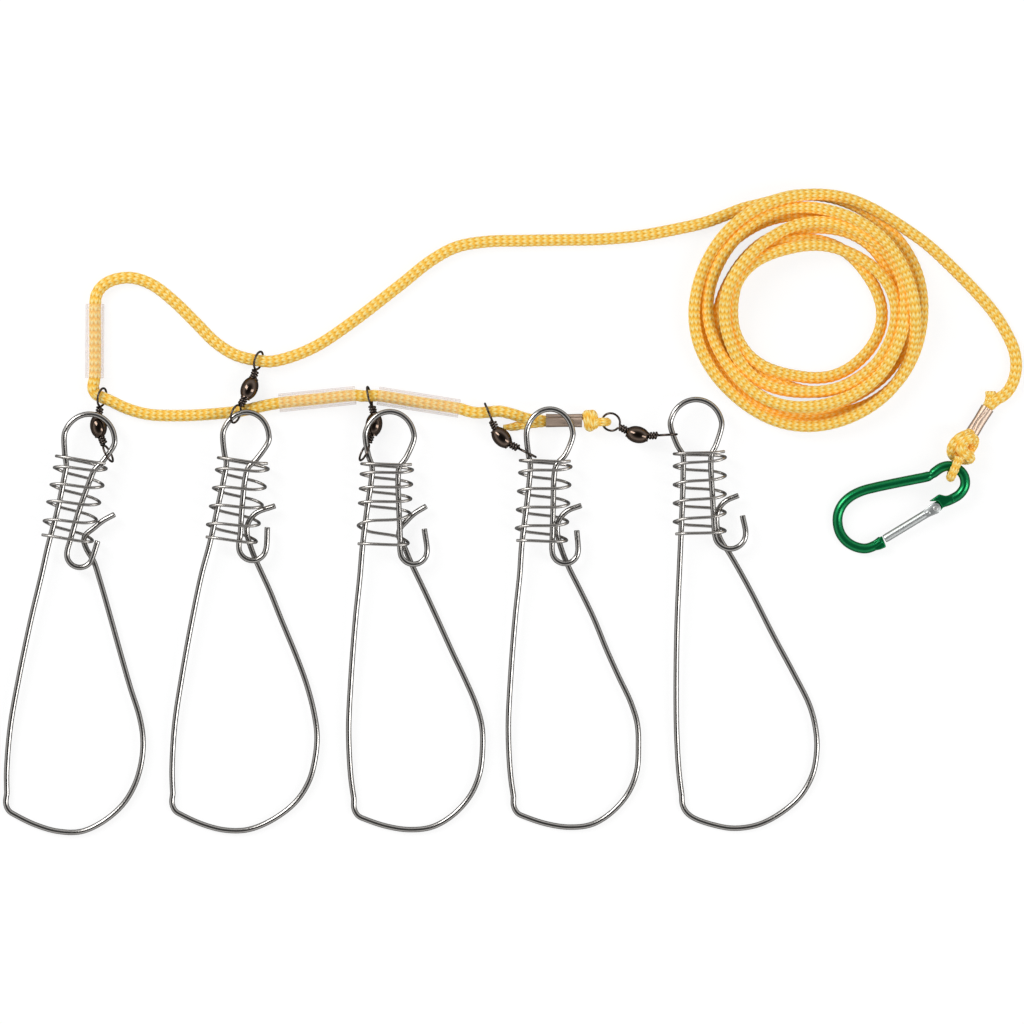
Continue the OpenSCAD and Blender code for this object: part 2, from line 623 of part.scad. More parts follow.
rope_stretch();
rope_coil();
rope_lead();
end_knot();
end_loop();
end_tail();
end_ferrule();
clip_knot();
clip_loop();
clip_tail();
clip_ferrule();
spacer_tube(0);  // spacer_tube_1
spacer_tube(1);  // spacer_tube_2
spacer_tube(2);  // spacer_tube_3
swivel_eye(0);  // swivel_eye_1
swivel_eye(1);  // swivel_eye_2
swivel_eye(2);  // swivel_eye_3
swivel_eye(3);  // swivel_eye_4
swivel_eye(4);  // swivel_eye_5
swivel_barrel(0);  // swivel_barrel_1
swivel_barrel(1);  // swivel_barrel_2
swivel_barrel(2);  // swivel_barrel_3
swivel_barrel(3);  // swivel_barrel_4
swivel_barrel(4);  // swivel_barrel_5
swivel_link(0);  // swivel_link_1
swivel_link(1);  // swivel_link_2
swivel_link(2);  // swivel_link_3
swivel_link(3);  // swivel_link_4
swivel_link(4);  // swivel_link_5
snap_frame(0);  // snap_frame_1
snap_frame(1);  // snap_frame_2
snap_frame(2);  // snap_frame_3
snap_frame(3);  // snap_frame_4
snap_frame(4);  // snap_frame_5
lock_spring(0);  // lock_spring_1
lock_spring(1);  // lock_spring_2
lock_spring(2);  // lock_spring_3
lock_spring(3);  // lock_spring_4
lock_spring(4);  // lock_spring_5
snap_arm(0);  // snap_arm_1
snap_arm(1);  // snap_arm_2
snap_arm(2);  // snap_arm_3
snap_arm(3);  // snap_arm_4
snap_arm(4);  // snap_arm_5
carabiner_body();
carabiner_gate();
carabiner_rivet();
gate_spring();
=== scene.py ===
"""Looks of a fish stringer: knitted rope, wire snaps, barrel swivels, clear tubes and a carabiner."""

import logging
import math
from dataclasses import dataclass, field
from enum import Enum

import bmesh
import bpy
import numpy as np
from mathutils import Matrix, Vector


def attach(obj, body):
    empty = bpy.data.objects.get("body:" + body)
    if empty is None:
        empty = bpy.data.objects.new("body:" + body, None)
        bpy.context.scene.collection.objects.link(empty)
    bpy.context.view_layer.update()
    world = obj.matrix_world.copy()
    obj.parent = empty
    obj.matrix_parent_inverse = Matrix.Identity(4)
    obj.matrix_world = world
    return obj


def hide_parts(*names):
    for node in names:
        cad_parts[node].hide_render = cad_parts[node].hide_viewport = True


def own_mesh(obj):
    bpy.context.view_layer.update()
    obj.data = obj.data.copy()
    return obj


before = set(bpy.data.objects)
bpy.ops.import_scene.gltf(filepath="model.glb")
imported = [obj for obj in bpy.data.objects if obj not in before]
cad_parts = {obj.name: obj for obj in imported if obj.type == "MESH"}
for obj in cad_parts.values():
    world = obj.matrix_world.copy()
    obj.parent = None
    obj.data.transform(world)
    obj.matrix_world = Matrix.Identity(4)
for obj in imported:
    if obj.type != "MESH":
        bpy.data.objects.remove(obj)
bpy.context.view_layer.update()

LOG = logging.getLogger("stringer")
MM = 0.001
WELD = 2e-3
EDGE = 0.18
UP = np.array([0.0, 0.0, 1.0])
Line = np.ndarray
Mesh = bmesh.types.BMesh
Piece = bpy.types.Object
Socket = bpy.types.NodeSocket
Material = bpy.types.Material


class End(Enum):
    """How a swept bar or strand is closed."""

    FLAT = "cut square"
    ROUND = "rounded off"
    SMALL = "edge taken off"


# ---------------------------------------------------------------- lines and shapes


def way(turn: float, rise: float) -> Line:
    """A unit direction.

    Args:
        turn: Angle on the table from +X, in degrees.
        rise: Angle above the table, in degrees.

    Returns:
        The direction as three numbers.
    """
    t, r = math.radians(turn), math.radians(rise)
    return np.array([math.cos(r) * math.cos(t), math.cos(r) * math.sin(t), math.sin(r)])


def unit(v: Line) -> Line:
    """The vector at length one."""
    return v / np.linalg.norm(v)


def smooth(points: Line, step: float, count: int = 0) -> Line:
    """A smooth curve through all the points, cut at equal steps.

    Args:
        points: Points that the curve passes, in mm.
        step: Distance between the points returned, in mm.
        count: Number of points to return, or 0 to follow the step.

    Returns:
        Points of the curve.
    """
    p = np.asarray(points, float)
    ends = np.vstack([2 * p[0] - p[1], p, 2 * p[-1] - p[-2]])
    gaps = np.maximum(np.linalg.norm(np.diff(ends, axis=0), axis=1), 1e-6) ** 0.5
    t = np.linspace(0, 1, 12, endpoint=False)[:, None]
    rows = []
    for i in range(1, len(ends) - 2):
        a, b, c = gaps[i - 1], gaps[i], gaps[i + 1]
        before, here, after, beyond = ends[i - 1 : i + 3]
        start = b * ((here - before) / a - (after - before) / (a + b)) + after - here
        stop = b * ((beyond - after) / c - (beyond - here) / (b + c)) + after - here
        rows.append(
            (2 * t**3 - 3 * t**2 + 1) * here
            + (t**3 - 2 * t**2 + t) * start
            + (3 * t**2 - 2 * t**3) * after
            + (t**3 - t**2) * stop
        )
    return evenly(np.vstack(rows + [p[-1:]]), step, count)


def evenly(points: Line, step: float, count: int = 0) -> Line:
    """The same polyline, cut at equal steps.

    Args:
        points: Corners of the line, in mm.
        step: Distance between the points returned, in mm.
        count: Number of points to return, or 0 to follow the step.

    Returns:
        Points of the line.
    """
    run = run_of(points)
    at = np.linspace(0, run[-1], count or max(2, int(round(run[-1] / step)) + 1))
    return np.stack([np.interp(at, run, points[:, k]) for k in range(3)], axis=1)


def run_of(points: Line) -> Line:
    """Distance of each point from the start, along the line."""
    return np.concatenate([[0.0], np.cumsum(np.linalg.norm(np.diff(points, axis=0), axis=1))])


def frames(points: Line, up: Line) -> tuple[Line, Line]:
    """Directions across a line, turned as little as possible.

    Args:
        points: Points of the line.
        up: Direction that the first cross direction is taken from.

    Returns:
        Side directions and normals of all points.
    """
    t = np.gradient(points, axis=0)
    t /= np.linalg.norm(t, axis=1)[:, None]
    side = np.zeros_like(t)
    side[0] = unit(np.cross(t[0], up))
    for i in range(1, len(t)):
        side[i] = unit(side[i - 1] - np.dot(side[i - 1], t[i]) * t[i])
    return side, np.cross(side, t)


def finish_piece(bm: Mesh, name: str, material: Material, sharp: float = 40.0) -> Piece:
    """Makes a named piece of a mesh that is built in mm.

    Args:
        bm: The mesh, which is freed.
        name: Name of the piece.
        material: Its finish.
        sharp: Angle past which an edge stays sharp, in degrees.

    Returns:
        The piece, at the origin.
    """
    bmesh.ops.recalc_face_normals(bm, faces=bm.faces)
    bmesh.ops.scale(bm, vec=(MM, MM, MM), verts=bm.verts)
    mesh = bpy.data.meshes.new(name)
    bm.to_mesh(mesh)
    bm.free()
    mesh.polygons.foreach_set("use_smooth", np.ones(len(mesh.polygons), dtype=bool))
    mesh.set_sharp_from_angle(angle=math.radians(sharp))
    mesh.materials.append(material)
    piece = bpy.data.objects.new(name, mesh)
    bpy.context.scene.collection.objects.link(piece)
    LOG.info("%s: %d faces", name, len(mesh.polygons))
    return piece


def stand_for(piece: Piece, body: str, slot: str, *nodes: str) -> Piece:
    """Puts a piece on its body, in the place of its nodes.

    Args:
        piece: The finished piece.
        body: Body that it rides on.
        slot: Name of a colour slot; not used.
        *nodes: Nodes that it replaces.

    Returns:
        The same piece.
    """
    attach(piece, body)
    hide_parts(*nodes)
    return piece


def rolled(
    line: Line,
    radius: float | Line,
    sides: int,
    end: End = End.FLAT,
    up: Line = UP,
    relief: "Relief | None" = None,
    tail: End | None = None,
) -> Mesh:
    """A bar, wire or strand: a grid rolled up round a line and welded along its seam.

    Args:
        line: Centre line, in mm.
        radius: One radius, or one for each point of the line, in mm.
        sides: Faces round the bar.
        end: How its start is closed.
        up: Direction that the seam is turned from.
        relief: Surface pattern, or none.
        tail: How its end is closed, if another way than its start.

    Returns:
        The mesh in mm, with its turns and its run as a UV map.
    """
    line, run, size = np.asarray(line, float), run_of(line), np.full(len(line), radius, float)
    for which, at_start in ((end, True), (tail or end, False)):
        if which is not End.FLAT:
            line, size, run = rounded(line, size, run, which, at_start)
    side, normal = frames(line, up)
    n = len(line)
    bm = bmesh.new()
    bmesh.ops.create_grid(bm, x_segments=n - 1, y_segments=sides, size=1, calc_uvs=False)
    bm.loops.layers.uv.new("run")
    mesh = bpy.data.meshes.new("grid")
    bm.to_mesh(mesh)
    bm.free()
    co = np.zeros(len(mesh.vertices) * 3)
    mesh.vertices.foreach_get("co", co)
    co = co.reshape(-1, 3)
    ix = np.rint((co[:, 0] + 1) / 2 * (n - 1)).astype(int)
    iy = np.rint((co[:, 1] + 1) / 2 * sides).astype(int)
    a, r = 2 * math.pi * iy / sides, size[ix]
    if relief:
        r = r + relief.height(iy / sides, run[ix]) * np.clip(size[ix] / size.max(), 0, 1) ** 2
    co = line[ix] + r[:, None] * (np.cos(a)[:, None] * side[ix] + np.sin(a)[:, None] * normal[ix])
    mesh.vertices.foreach_set("co", co.reshape(-1))
    loops = np.zeros(len(mesh.loops), dtype=np.int32)
    mesh.loops.foreach_get("vertex_index", loops)
    wales, pitch = (relief.wales, relief.pitch) if relief else (1.0, 1.0)
    marks = np.stack([iy[loops] / sides * wales, run[ix][loops] / pitch], axis=1)
    mesh.uv_layers["run"].data.foreach_set("uv", marks.astype(np.float32).reshape(-1))
    bm = bmesh.new()
    bm.from_mesh(mesh)
    bpy.data.meshes.remove(mesh)
    bm.verts.ensure_lookup_table()
    seam = np.flatnonzero((iy == 0) | (iy == sides) | (ix == 0) | (ix == n - 1))
    bmesh.ops.remove_doubles(bm, verts=[bm.verts[int(i)] for i in seam], dist=WELD)
    rim = [e for e in bm.edges if e.is_boundary]
    if rim:
        bmesh.ops.holes_fill(bm, edges=rim, sides=0)
    return bm


def rounded(line: Line, size: Line, run: Line, which: End, at_start: bool) -> tuple[Line, Line, Line]:
    """Adds rings that round off one end of a bar.

    Args:
        line: Centre line, which stops at the end of the straight part.
        size: Radii of its points.
        run: Run of its points.
        which: A dome, or only a small edge.
        at_start: Whether it is the first end.

    Returns:
        The longer line, its radii and its run.
    """
    p, q, r = (line[0], line[1], size[0]) if at_start else (line[-1], line[-2], size[-1])
    dome = which is End.ROUND
    cut = r if dome else EDGE * r
    a = np.radians(np.arange(15, 91, 15) if dome else np.arange(30, 91, 30))
    extra, radii = cut * np.sin(a), r - cut + cut * np.cos(a)
    rows = p + np.outer(extra, unit(p - q))
    if at_start:
        return np.vstack([rows[::-1], line]), np.r_[radii[::-1], size], np.r_[(run[0] - extra)[::-1], run]
    return np.vstack([line, rows]), np.r_[size, radii], np.r_[run, run[-1] + extra]


def joined(parts: list[Mesh]) -> Mesh:
    """One mesh of several, which are freed.

    Args:
        parts: Meshes in mm.

    Returns:
        The first, with all the others in it.
    """
    keep = parts[0]
    for part in parts[1:]:
        mesh = bpy.data.meshes.new("part")
        bmesh.ops.recalc_face_normals(part, faces=part.faces)
        part.to_mesh(mesh)
        part.free()
        keep.from_mesh(mesh)
        bpy.data.meshes.remove(mesh)
    return keep


def placed(bm: Mesh, matrix: Matrix) -> Mesh:
    """Moves a mesh into place.

    Args:
        bm: The mesh.
        matrix: Its place, in mm.

    Returns:
        The same mesh.
    """
    bmesh.ops.transform(bm, matrix=matrix, verts=bm.verts)
    return bm


def aim(point: Line, turn: float, rise: float, roll: float = 0.0) -> Matrix:
    """A place whose Z axis points along a direction.

    Args:
        point: The origin, in mm.
        turn: Angle of the direction on the table, in degrees.
        rise: Angle of the direction above the table, in degrees.
        roll: Turn about the direction, in degrees.

    Returns:
        The place as a matrix.
    """
    return (
        Matrix.Translation(Vector(point))
        @ Matrix.Rotation(math.radians(turn), 4, "Z")
        @ Matrix.Rotation(math.radians(90 - rise), 4, "Y")
        @ Matrix.Rotation(math.radians(roll), 4, "Z")
    )


def spun(profile: list[tuple[float, float]], steps: int) -> Mesh:
    """A turned piece.

    Args:
        profile: Closed outline as radius and height, in mm.
        steps: Faces round the axis.

    Returns:
        The mesh in mm, round the Z axis.
    """
    bm = bmesh.new()
    verts = [bm.verts.new((r, 0, z)) for r, z in profile]
    edges = [bm.edges.new((a, b)) for a, b in zip(verts, verts[1:] + verts[:1])]
    bmesh.ops.spin(
        bm, geom=verts + edges, cent=(0, 0, 0), axis=(0, 0, 1), dvec=(0, 0, 0),
        angle=2 * math.pi, steps=steps, use_merge=True, use_duplicate=False,
    )
    bmesh.ops.remove_doubles(bm, verts=bm.verts, dist=1e-3)
    return bm


def block(corners: list, push: tuple[float, float, float], edge: float, rows: int) -> Mesh:
    """A flat face pushed out into a block, with its edges rounded.

    Args:
        corners: Corners of the face, in mm.
        push: How far it is pushed, in mm.
        edge: How much its edges are rounded, in mm.
        rows: Faces across a rounded edge.

    Returns:
        The mesh in mm.
    """
    bm = bmesh.new()
    face = bm.faces.new([bm.verts.new(p) for p in corners])
    pushed = bmesh.ops.extrude_face_region(bm, geom=[face])["geom"]
    bmesh.ops.translate(bm, vec=push, verts=[v for v in pushed if isinstance(v, bmesh.types.BMVert)])
    bmesh.ops.recalc_face_normals(bm, faces=bm.faces)
    bmesh.ops.bevel(
        bm, geom=bm.edges[:], offset=edge, segments=rows, profile=0.5, affect="EDGES", clamp_overlap=True,
    )
    return bm


# ---------------------------------------------------------------- finishes


class Nodes:
    """Small helper that places and joins shader nodes in one tree."""

    def __init__(self, tree: bpy.types.NodeTree) -> None:
        """Keeps the tree."""
        self.tree = tree

    def feed(self, node: bpy.types.Node, inputs: dict) -> None:
        """Fills inputs of a node.

        Args:
            node: The node.
            inputs: Sockets to link or constants to set, by name or number of the input.
        """
        for key, value in inputs.items():
            if isinstance(value, Socket):
                self.tree.links.new(value, node.inputs[key])
            else:
                node.inputs[key].default_value = value

    def add(self, kind: str, inputs: dict | None = None, **values: object) -> bpy.types.Node:
        """Adds a node.

        Args:
            kind: Its type.
            inputs: What its inputs get, by name or number.
            **values: Properties of the node.

        Returns:
            The node.
        """
        node = self.tree.nodes.new(kind)
        for key, value in values.items():
            setattr(node, key, value)
        self.feed(node, inputs or {})
        return node

    def math(self, operation: str, *inputs: object) -> Socket:
        """The result of a math node, fed with sockets or numbers."""
        return self.add("ShaderNodeMath", dict(enumerate(inputs)), operation=operation).outputs[0]

    def ramp(self, value: Socket, stops: list[tuple[float, tuple[float, ...]]]) -> Socket:
        """The colour of a colour ramp.

        Args:
            value: What drives it.
            stops: Places and colours.

        Returns:
            Its colour.
        """
        node = self.add("ShaderNodeValToRGB", {0: value})
        marks = node.color_ramp.elements
        while len(marks) < len(stops):
            marks.new(0.5)
        for mark, (place, colour) in zip(marks, stops):
            mark.position = place
            mark.color = colour
        return node.outputs[0]

    def mix(self, factor: object, a: object, b: object) -> Socket:
        """A mix of two colours, each a socket or four numbers; the factor is the second's share."""
        return self.add("ShaderNodeMix", {0: factor, 6: a, 7: b}, data_type="RGBA").outputs[2]

    def noise(self, vector: Socket, scale: object, detail: float) -> Socket:
        """The value of a noise texture, read at a vector, with its fineness and its layers."""
        return self.add("ShaderNodeTexNoise", {"Vector": vector, "Scale": scale, "Detail": detail}).outputs[0]


def linear(*channels: int) -> tuple[float, ...]:
    """A screen colour as the renderer wants it.

    Args:
        *channels: Red, green and blue from 0 to 255.

    Returns:
        The colour in linear light, with full cover.
    """
    screen = [c / 255 for c in channels]
    return (*(v / 12.92 if v <= 0.04045 else ((v + 0.055) / 1.055) ** 2.4 for v in screen), 1.0)


def new_group(
    name: str, numbers: dict[str, float], outputs: tuple[str, ...]
) -> tuple[bpy.types.NodeTree, Nodes, bpy.types.Node, bpy.types.Node]:
    """Starts a shader node group that reads a vector and some numbers.

    Args:
        name: Its name.
        numbers: Name and value of each number that it reads.
        outputs: Names of its values put out.

    Returns:
        The tree, its helper, its input node and its output node.
    """
    tree = bpy.data.node_groups.new(name, "ShaderNodeTree")
    tree.interface.new_socket("Vector", in_out="INPUT", socket_type="NodeSocketVector")
    for label, value in numbers.items():
        socket = tree.interface.new_socket(label, in_out="INPUT", socket_type="NodeSocketFloat")
        socket.default_value = value
    for label in outputs:
        tree.interface.new_socket(label, in_out="OUTPUT", socket_type="NodeSocketFloat")
    n = Nodes(tree)
    return tree, n, n.add("NodeGroupInput"), n.add("NodeGroupOutput")


def knit_group() -> bpy.types.NodeTree:
    """Knit stitches on a strand: ridges of the yarn, gaps between stitches and fine fibres.

    Returns:
        The node group.
    """
    tree, n, start, out = new_group("knit_stitches", {"Slant": 0.85, "Fibre": 1.0}, ("Ridge", "Gap", "Fibre"))
    parts = n.add("ShaderNodeSeparateXYZ", {0: start.outputs["Vector"]})
    across = n.math("ABSOLUTE", n.math("SUBTRACT", n.math("FRACT", parts.outputs[0]), 0.5))
    phase = n.math("SUBTRACT", parts.outputs[1], n.math("MULTIPLY", across, start.outputs["Slant"]))
    lift = n.math("MULTIPLY_ADD", n.math("COSINE", n.math("MULTIPLY", phase, 2 * math.pi)), 0.5, 0.5)
    width = n.math("MULTIPLY", across, 2.0)
    crown = n.math("SUBTRACT", 1.0, n.math("POWER", width, 4.0))
    low = n.math("POWER", n.math("SUBTRACT", 1.0, lift), 4.0)
    stretch = n.add("ShaderNodeCombineXYZ", {0: parts.outputs[0], 1: n.math("MULTIPLY", phase, 9.0)})
    n.feed(out, {
        "Ridge": n.math("MULTIPLY", lift, crown),
        "Gap": n.math("MULTIPLY", n.math("POWER", width, 6.0), low),
        "Fibre": n.math("MULTIPLY", n.noise(stretch.outputs[0], 2.2, 2.0), start.outputs["Fibre"]),
    })
    return tree


def wear_group() -> bpy.types.NodeTree:
    """Handling marks on metal: fine scratches and cloudy smears.

    Returns:
        The node group.
    """
    tree, n, start, out = new_group("handling_marks", {"Fineness": 900.0}, ("Scratch", "Smear"))
    where = start.outputs["Vector"]
    stretch = n.add("ShaderNodeMapping", {"Vector": where, "Scale": (1.0, 9.0, 1.0), "Rotation": (0.0, 0.0, 0.5)})
    lines = n.noise(stretch.outputs[0], start.outputs["Fineness"], 4.0)
    n.feed(out, {"Scratch": n.math("POWER", lines, 3.0), "Smear": n.noise(where, 120.0, 3.0)})
    return tree


@dataclass
class Groups:
    """The shared shader effects, each built once."""

    knit: bpy.types.NodeTree = field(default_factory=knit_group)
    wear: bpy.types.NodeTree = field(default_factory=wear_group)


def material_of(name: str) -> tuple[Material, Nodes, bpy.types.Node]:
    """Starts a material with a Principled shader.

    Args:
        name: Its name.

    Returns:
        The material, its node helper and its shader.
    """
    material = bpy.data.materials.new(name)
    material.use_nodes = True
    n = Nodes(material.node_tree)
    return material, n, material.node_tree.nodes["Principled BSDF"]


@dataclass(frozen=True)
class RopeFinish:
    """Yellow knitted cord, with painted shade in the gaps between its stitches and in the troughs of its ridges,
    painted highlights on its ridge tops, and a painted orange glow where it is shaded.
    """

    name: str = "yellow_knit"
    # Painted highlight: the pale colour laid on the tops of the stitch ridges.
    light: tuple = linear(255, 244, 176)
    body: tuple = linear(255, 212, 86)
    # Painted shade: the deep orange laid in the troughs between stitch ridges, also the colour that the fibre streaks
    # run towards.
    deep: tuple = linear(255, 182, 38)
    # Painted shade: the dark olive laid into the holes between stitches.
    gap: tuple = linear(160, 132, 44)
    # Painted glow: orange emission that stands in for light bounced between the loops, laid where the rope is shaded.
    painted_bounce_glow: tuple = linear(255, 134, 0)
    bump: float = 0.45

    def make(self, groups: Groups) -> Material:
        """Builds the material.

        Args:
            groups: Shared effects.

        Returns:
            The material.
        """
        material, n, shader = material_of(self.name)
        place = n.add("ShaderNodeUVMap", uv_map="run").outputs[0]
        knit = n.add("ShaderNodeGroup", {"Vector": place}, node_tree=groups.knit).outputs
        # Painted light and shade: by their height, the stitch ridges are coloured pale on top and deep orange in the
        # troughs.
        yarn = n.ramp(knit["Ridge"], [(0.0, self.deep), (0.35, self.body), (1.0, self.light)])
        cloud = n.noise(n.add("ShaderNodeTexCoord").outputs["Object"], 60.0, 2.0)
        tinted = n.mix(n.math("MULTIPLY", cloud, 0.35), yarn, self.body)
        fuzzy = n.mix(n.math("MULTIPLY", knit["Fibre"], 0.16), tinted, self.deep)
        # Painted shade: mask that lays the dark olive into the holes between stitches.
        painted_hole_shade = n.math("MULTIPLY", n.math("SMOOTH_MIN", knit["Gap"], 0.85, 0.1), 0.85)
        # Painted glow: the camera sees orange emission where ambient occlusion finds the rope shaded, in place of
        # bounced light.
        shade = n.add("ShaderNodeAmbientOcclusion", {"Distance": 0.004}, samples=4, only_local=True)
        seen = n.add("ShaderNodeLightPath").outputs["Is Camera Ray"]
        painted_bounce_glow = n.math("MULTIPLY", n.math("SUBTRACT", 1.0, shade.outputs["AO"]), seen)
        height = n.math("SUBTRACT", n.math("MULTIPLY_ADD", knit["Fibre"], 0.35, knit["Ridge"]), knit["Gap"])
        bump = n.add("ShaderNodeBump", {"Strength": self.bump, "Distance": 0.0004, "Height": height})
        n.feed(shader, {
            "Base Color": n.mix(painted_hole_shade, fuzzy, self.gap),
            "Emission Color": self.painted_bounce_glow,
            "Emission Strength": n.math("MULTIPLY", painted_bounce_glow, 0.5),
            "Roughness": 0.72,
            "Sheen Weight": 0.25,
            "Sheen Roughness": 0.5,
            "Sheen Tint": (1.0, 0.85, 0.5, 1.0),
            "Normal": bump.outputs[0],
        })
        return material


@dataclass(frozen=True)
class MetalFinish:
    """Bare or coloured metal with handling marks."""

    name: str
    colour: tuple
    worn: tuple
    roughness: float
    spread: float = 0.12
    coat: float = 0.0
    metallic: float = 1.0
    bump: float = 0.04
    rim: float = 0.5

    def make(self, groups: Groups) -> Material:
        """Builds the material.

        Args:
            groups: Shared effects.

        Returns:
            The material.
        """
        material, n, shader = material_of(self.name)
        where = n.add("ShaderNodeTexCoord").outputs["Object"]
        wear = n.add("ShaderNodeGroup", {"Vector": where}, node_tree=groups.wear).outputs
        bump = n.add("ShaderNodeBump", {"Strength": self.bump, "Distance": 0.0001, "Height": wear["Scratch"]})
        n.feed(shader, {
            "Base Color": n.mix(n.math("MULTIPLY", wear["Scratch"], 1.6), self.colour, self.worn),
            "Roughness": n.math("MULTIPLY_ADD", wear["Smear"], self.spread, self.roughness),
            "Metallic": self.metallic,
            "Specular Tint": (self.rim, self.rim, self.rim, 1.0),
            "Coat Weight": self.coat,
            "Coat Roughness": 0.08,
            "Normal": bump.outputs[0],
        })
        return material


# name, colour, colour of the marks, roughness, its spread, coat, metallic
METALS = (
    ("snap_steel", (190, 187, 183), (138, 135, 131), 0.14, 0.1),
    ("spring_steel", (192, 188, 183), (126, 122, 118), 0.18, 0.1),
    ("dark_nickel", (98, 88, 82), (50, 44, 40), 0.14, 0.1),
    ("dark_shell", (104, 90, 80), (66, 54, 47), 0.07, 0.06),
    ("crimp_metal", (218, 196, 178), (176, 150, 130), 0.42, 0.12),
    ("green_anodised", (14, 138, 78), (5, 100, 56), 0.24, 0.1, 0.25, 0.8),
    ("gate_silver", (222, 226, 224), (186, 190, 188), 0.34, 0.1),
    ("rivet_silver", (228, 228, 226), (190, 188, 186), 0.34, 0.1),
)


@dataclass(frozen=True)
class ClearFinish:
    """Milky clear plastic tube."""

    name: str = "clear_plastic"
    tint: tuple = linear(255, 247, 247)
    rim: tuple = linear(226, 204, 206)
    haze: float = 0.07
    edge: float = 0.5
    falloff: float = 2.4

    def make(self, groups: Groups) -> Material:
        """Builds the material.

        Args:
            groups: Shared effects.

        Returns:
            The material.
        """
        material, n, shader = material_of(self.name)
        where = n.add("ShaderNodeTexCoord").outputs["Object"]
        wear = n.add("ShaderNodeGroup", {"Vector": where}, node_tree=groups.wear).outputs
        facing = n.add("ShaderNodeLayerWeight", {"Blend": 0.5}).outputs["Facing"]
        smeared = n.mix(n.math("MULTIPLY", wear["Smear"], 0.15), self.tint, self.rim)
        n.feed(shader, {
            "Base Color": n.mix(n.math("POWER", facing, 2.0), smeared, self.rim),
            "Roughness": n.math("MULTIPLY_ADD", wear["Scratch"], 0.5, 0.08),
            "Alpha": n.math("MULTIPLY_ADD", n.math("POWER", facing, self.falloff), self.edge, self.haze),
            "IOR": 1.45,
        })
        return material


# ---------------------------------------------------------------- rope


@dataclass(frozen=True)
class Relief:
    """Stitches that stand out of a knitted strand."""

    wales: float = 8.0
    pitch: float = 2.7
    ridge: float = 0.16
    gap: float = 0.3
    slant: float = 0.85

    def height(self, turn: Line, run: Line) -> Line:
        """Height of the surface over the strand's radius.

        Args:
            turn: Place round the strand, from 0 to 1.
            run: Place along the strand, in mm.

        Returns:
            Heights in mm.
        """
        across = np.abs(np.mod(turn * self.wales, 1.0) - 0.5)
        lift = 0.5 + 0.5 * np.cos(2 * math.pi * (run / self.pitch - across * self.slant))
        crown = 1 - (2 * across) ** 4
        gap = (2 * across) ** 3 * (1 - lift) ** 2
        return self.ridge * (lift * crown - 0.35) - self.gap * gap


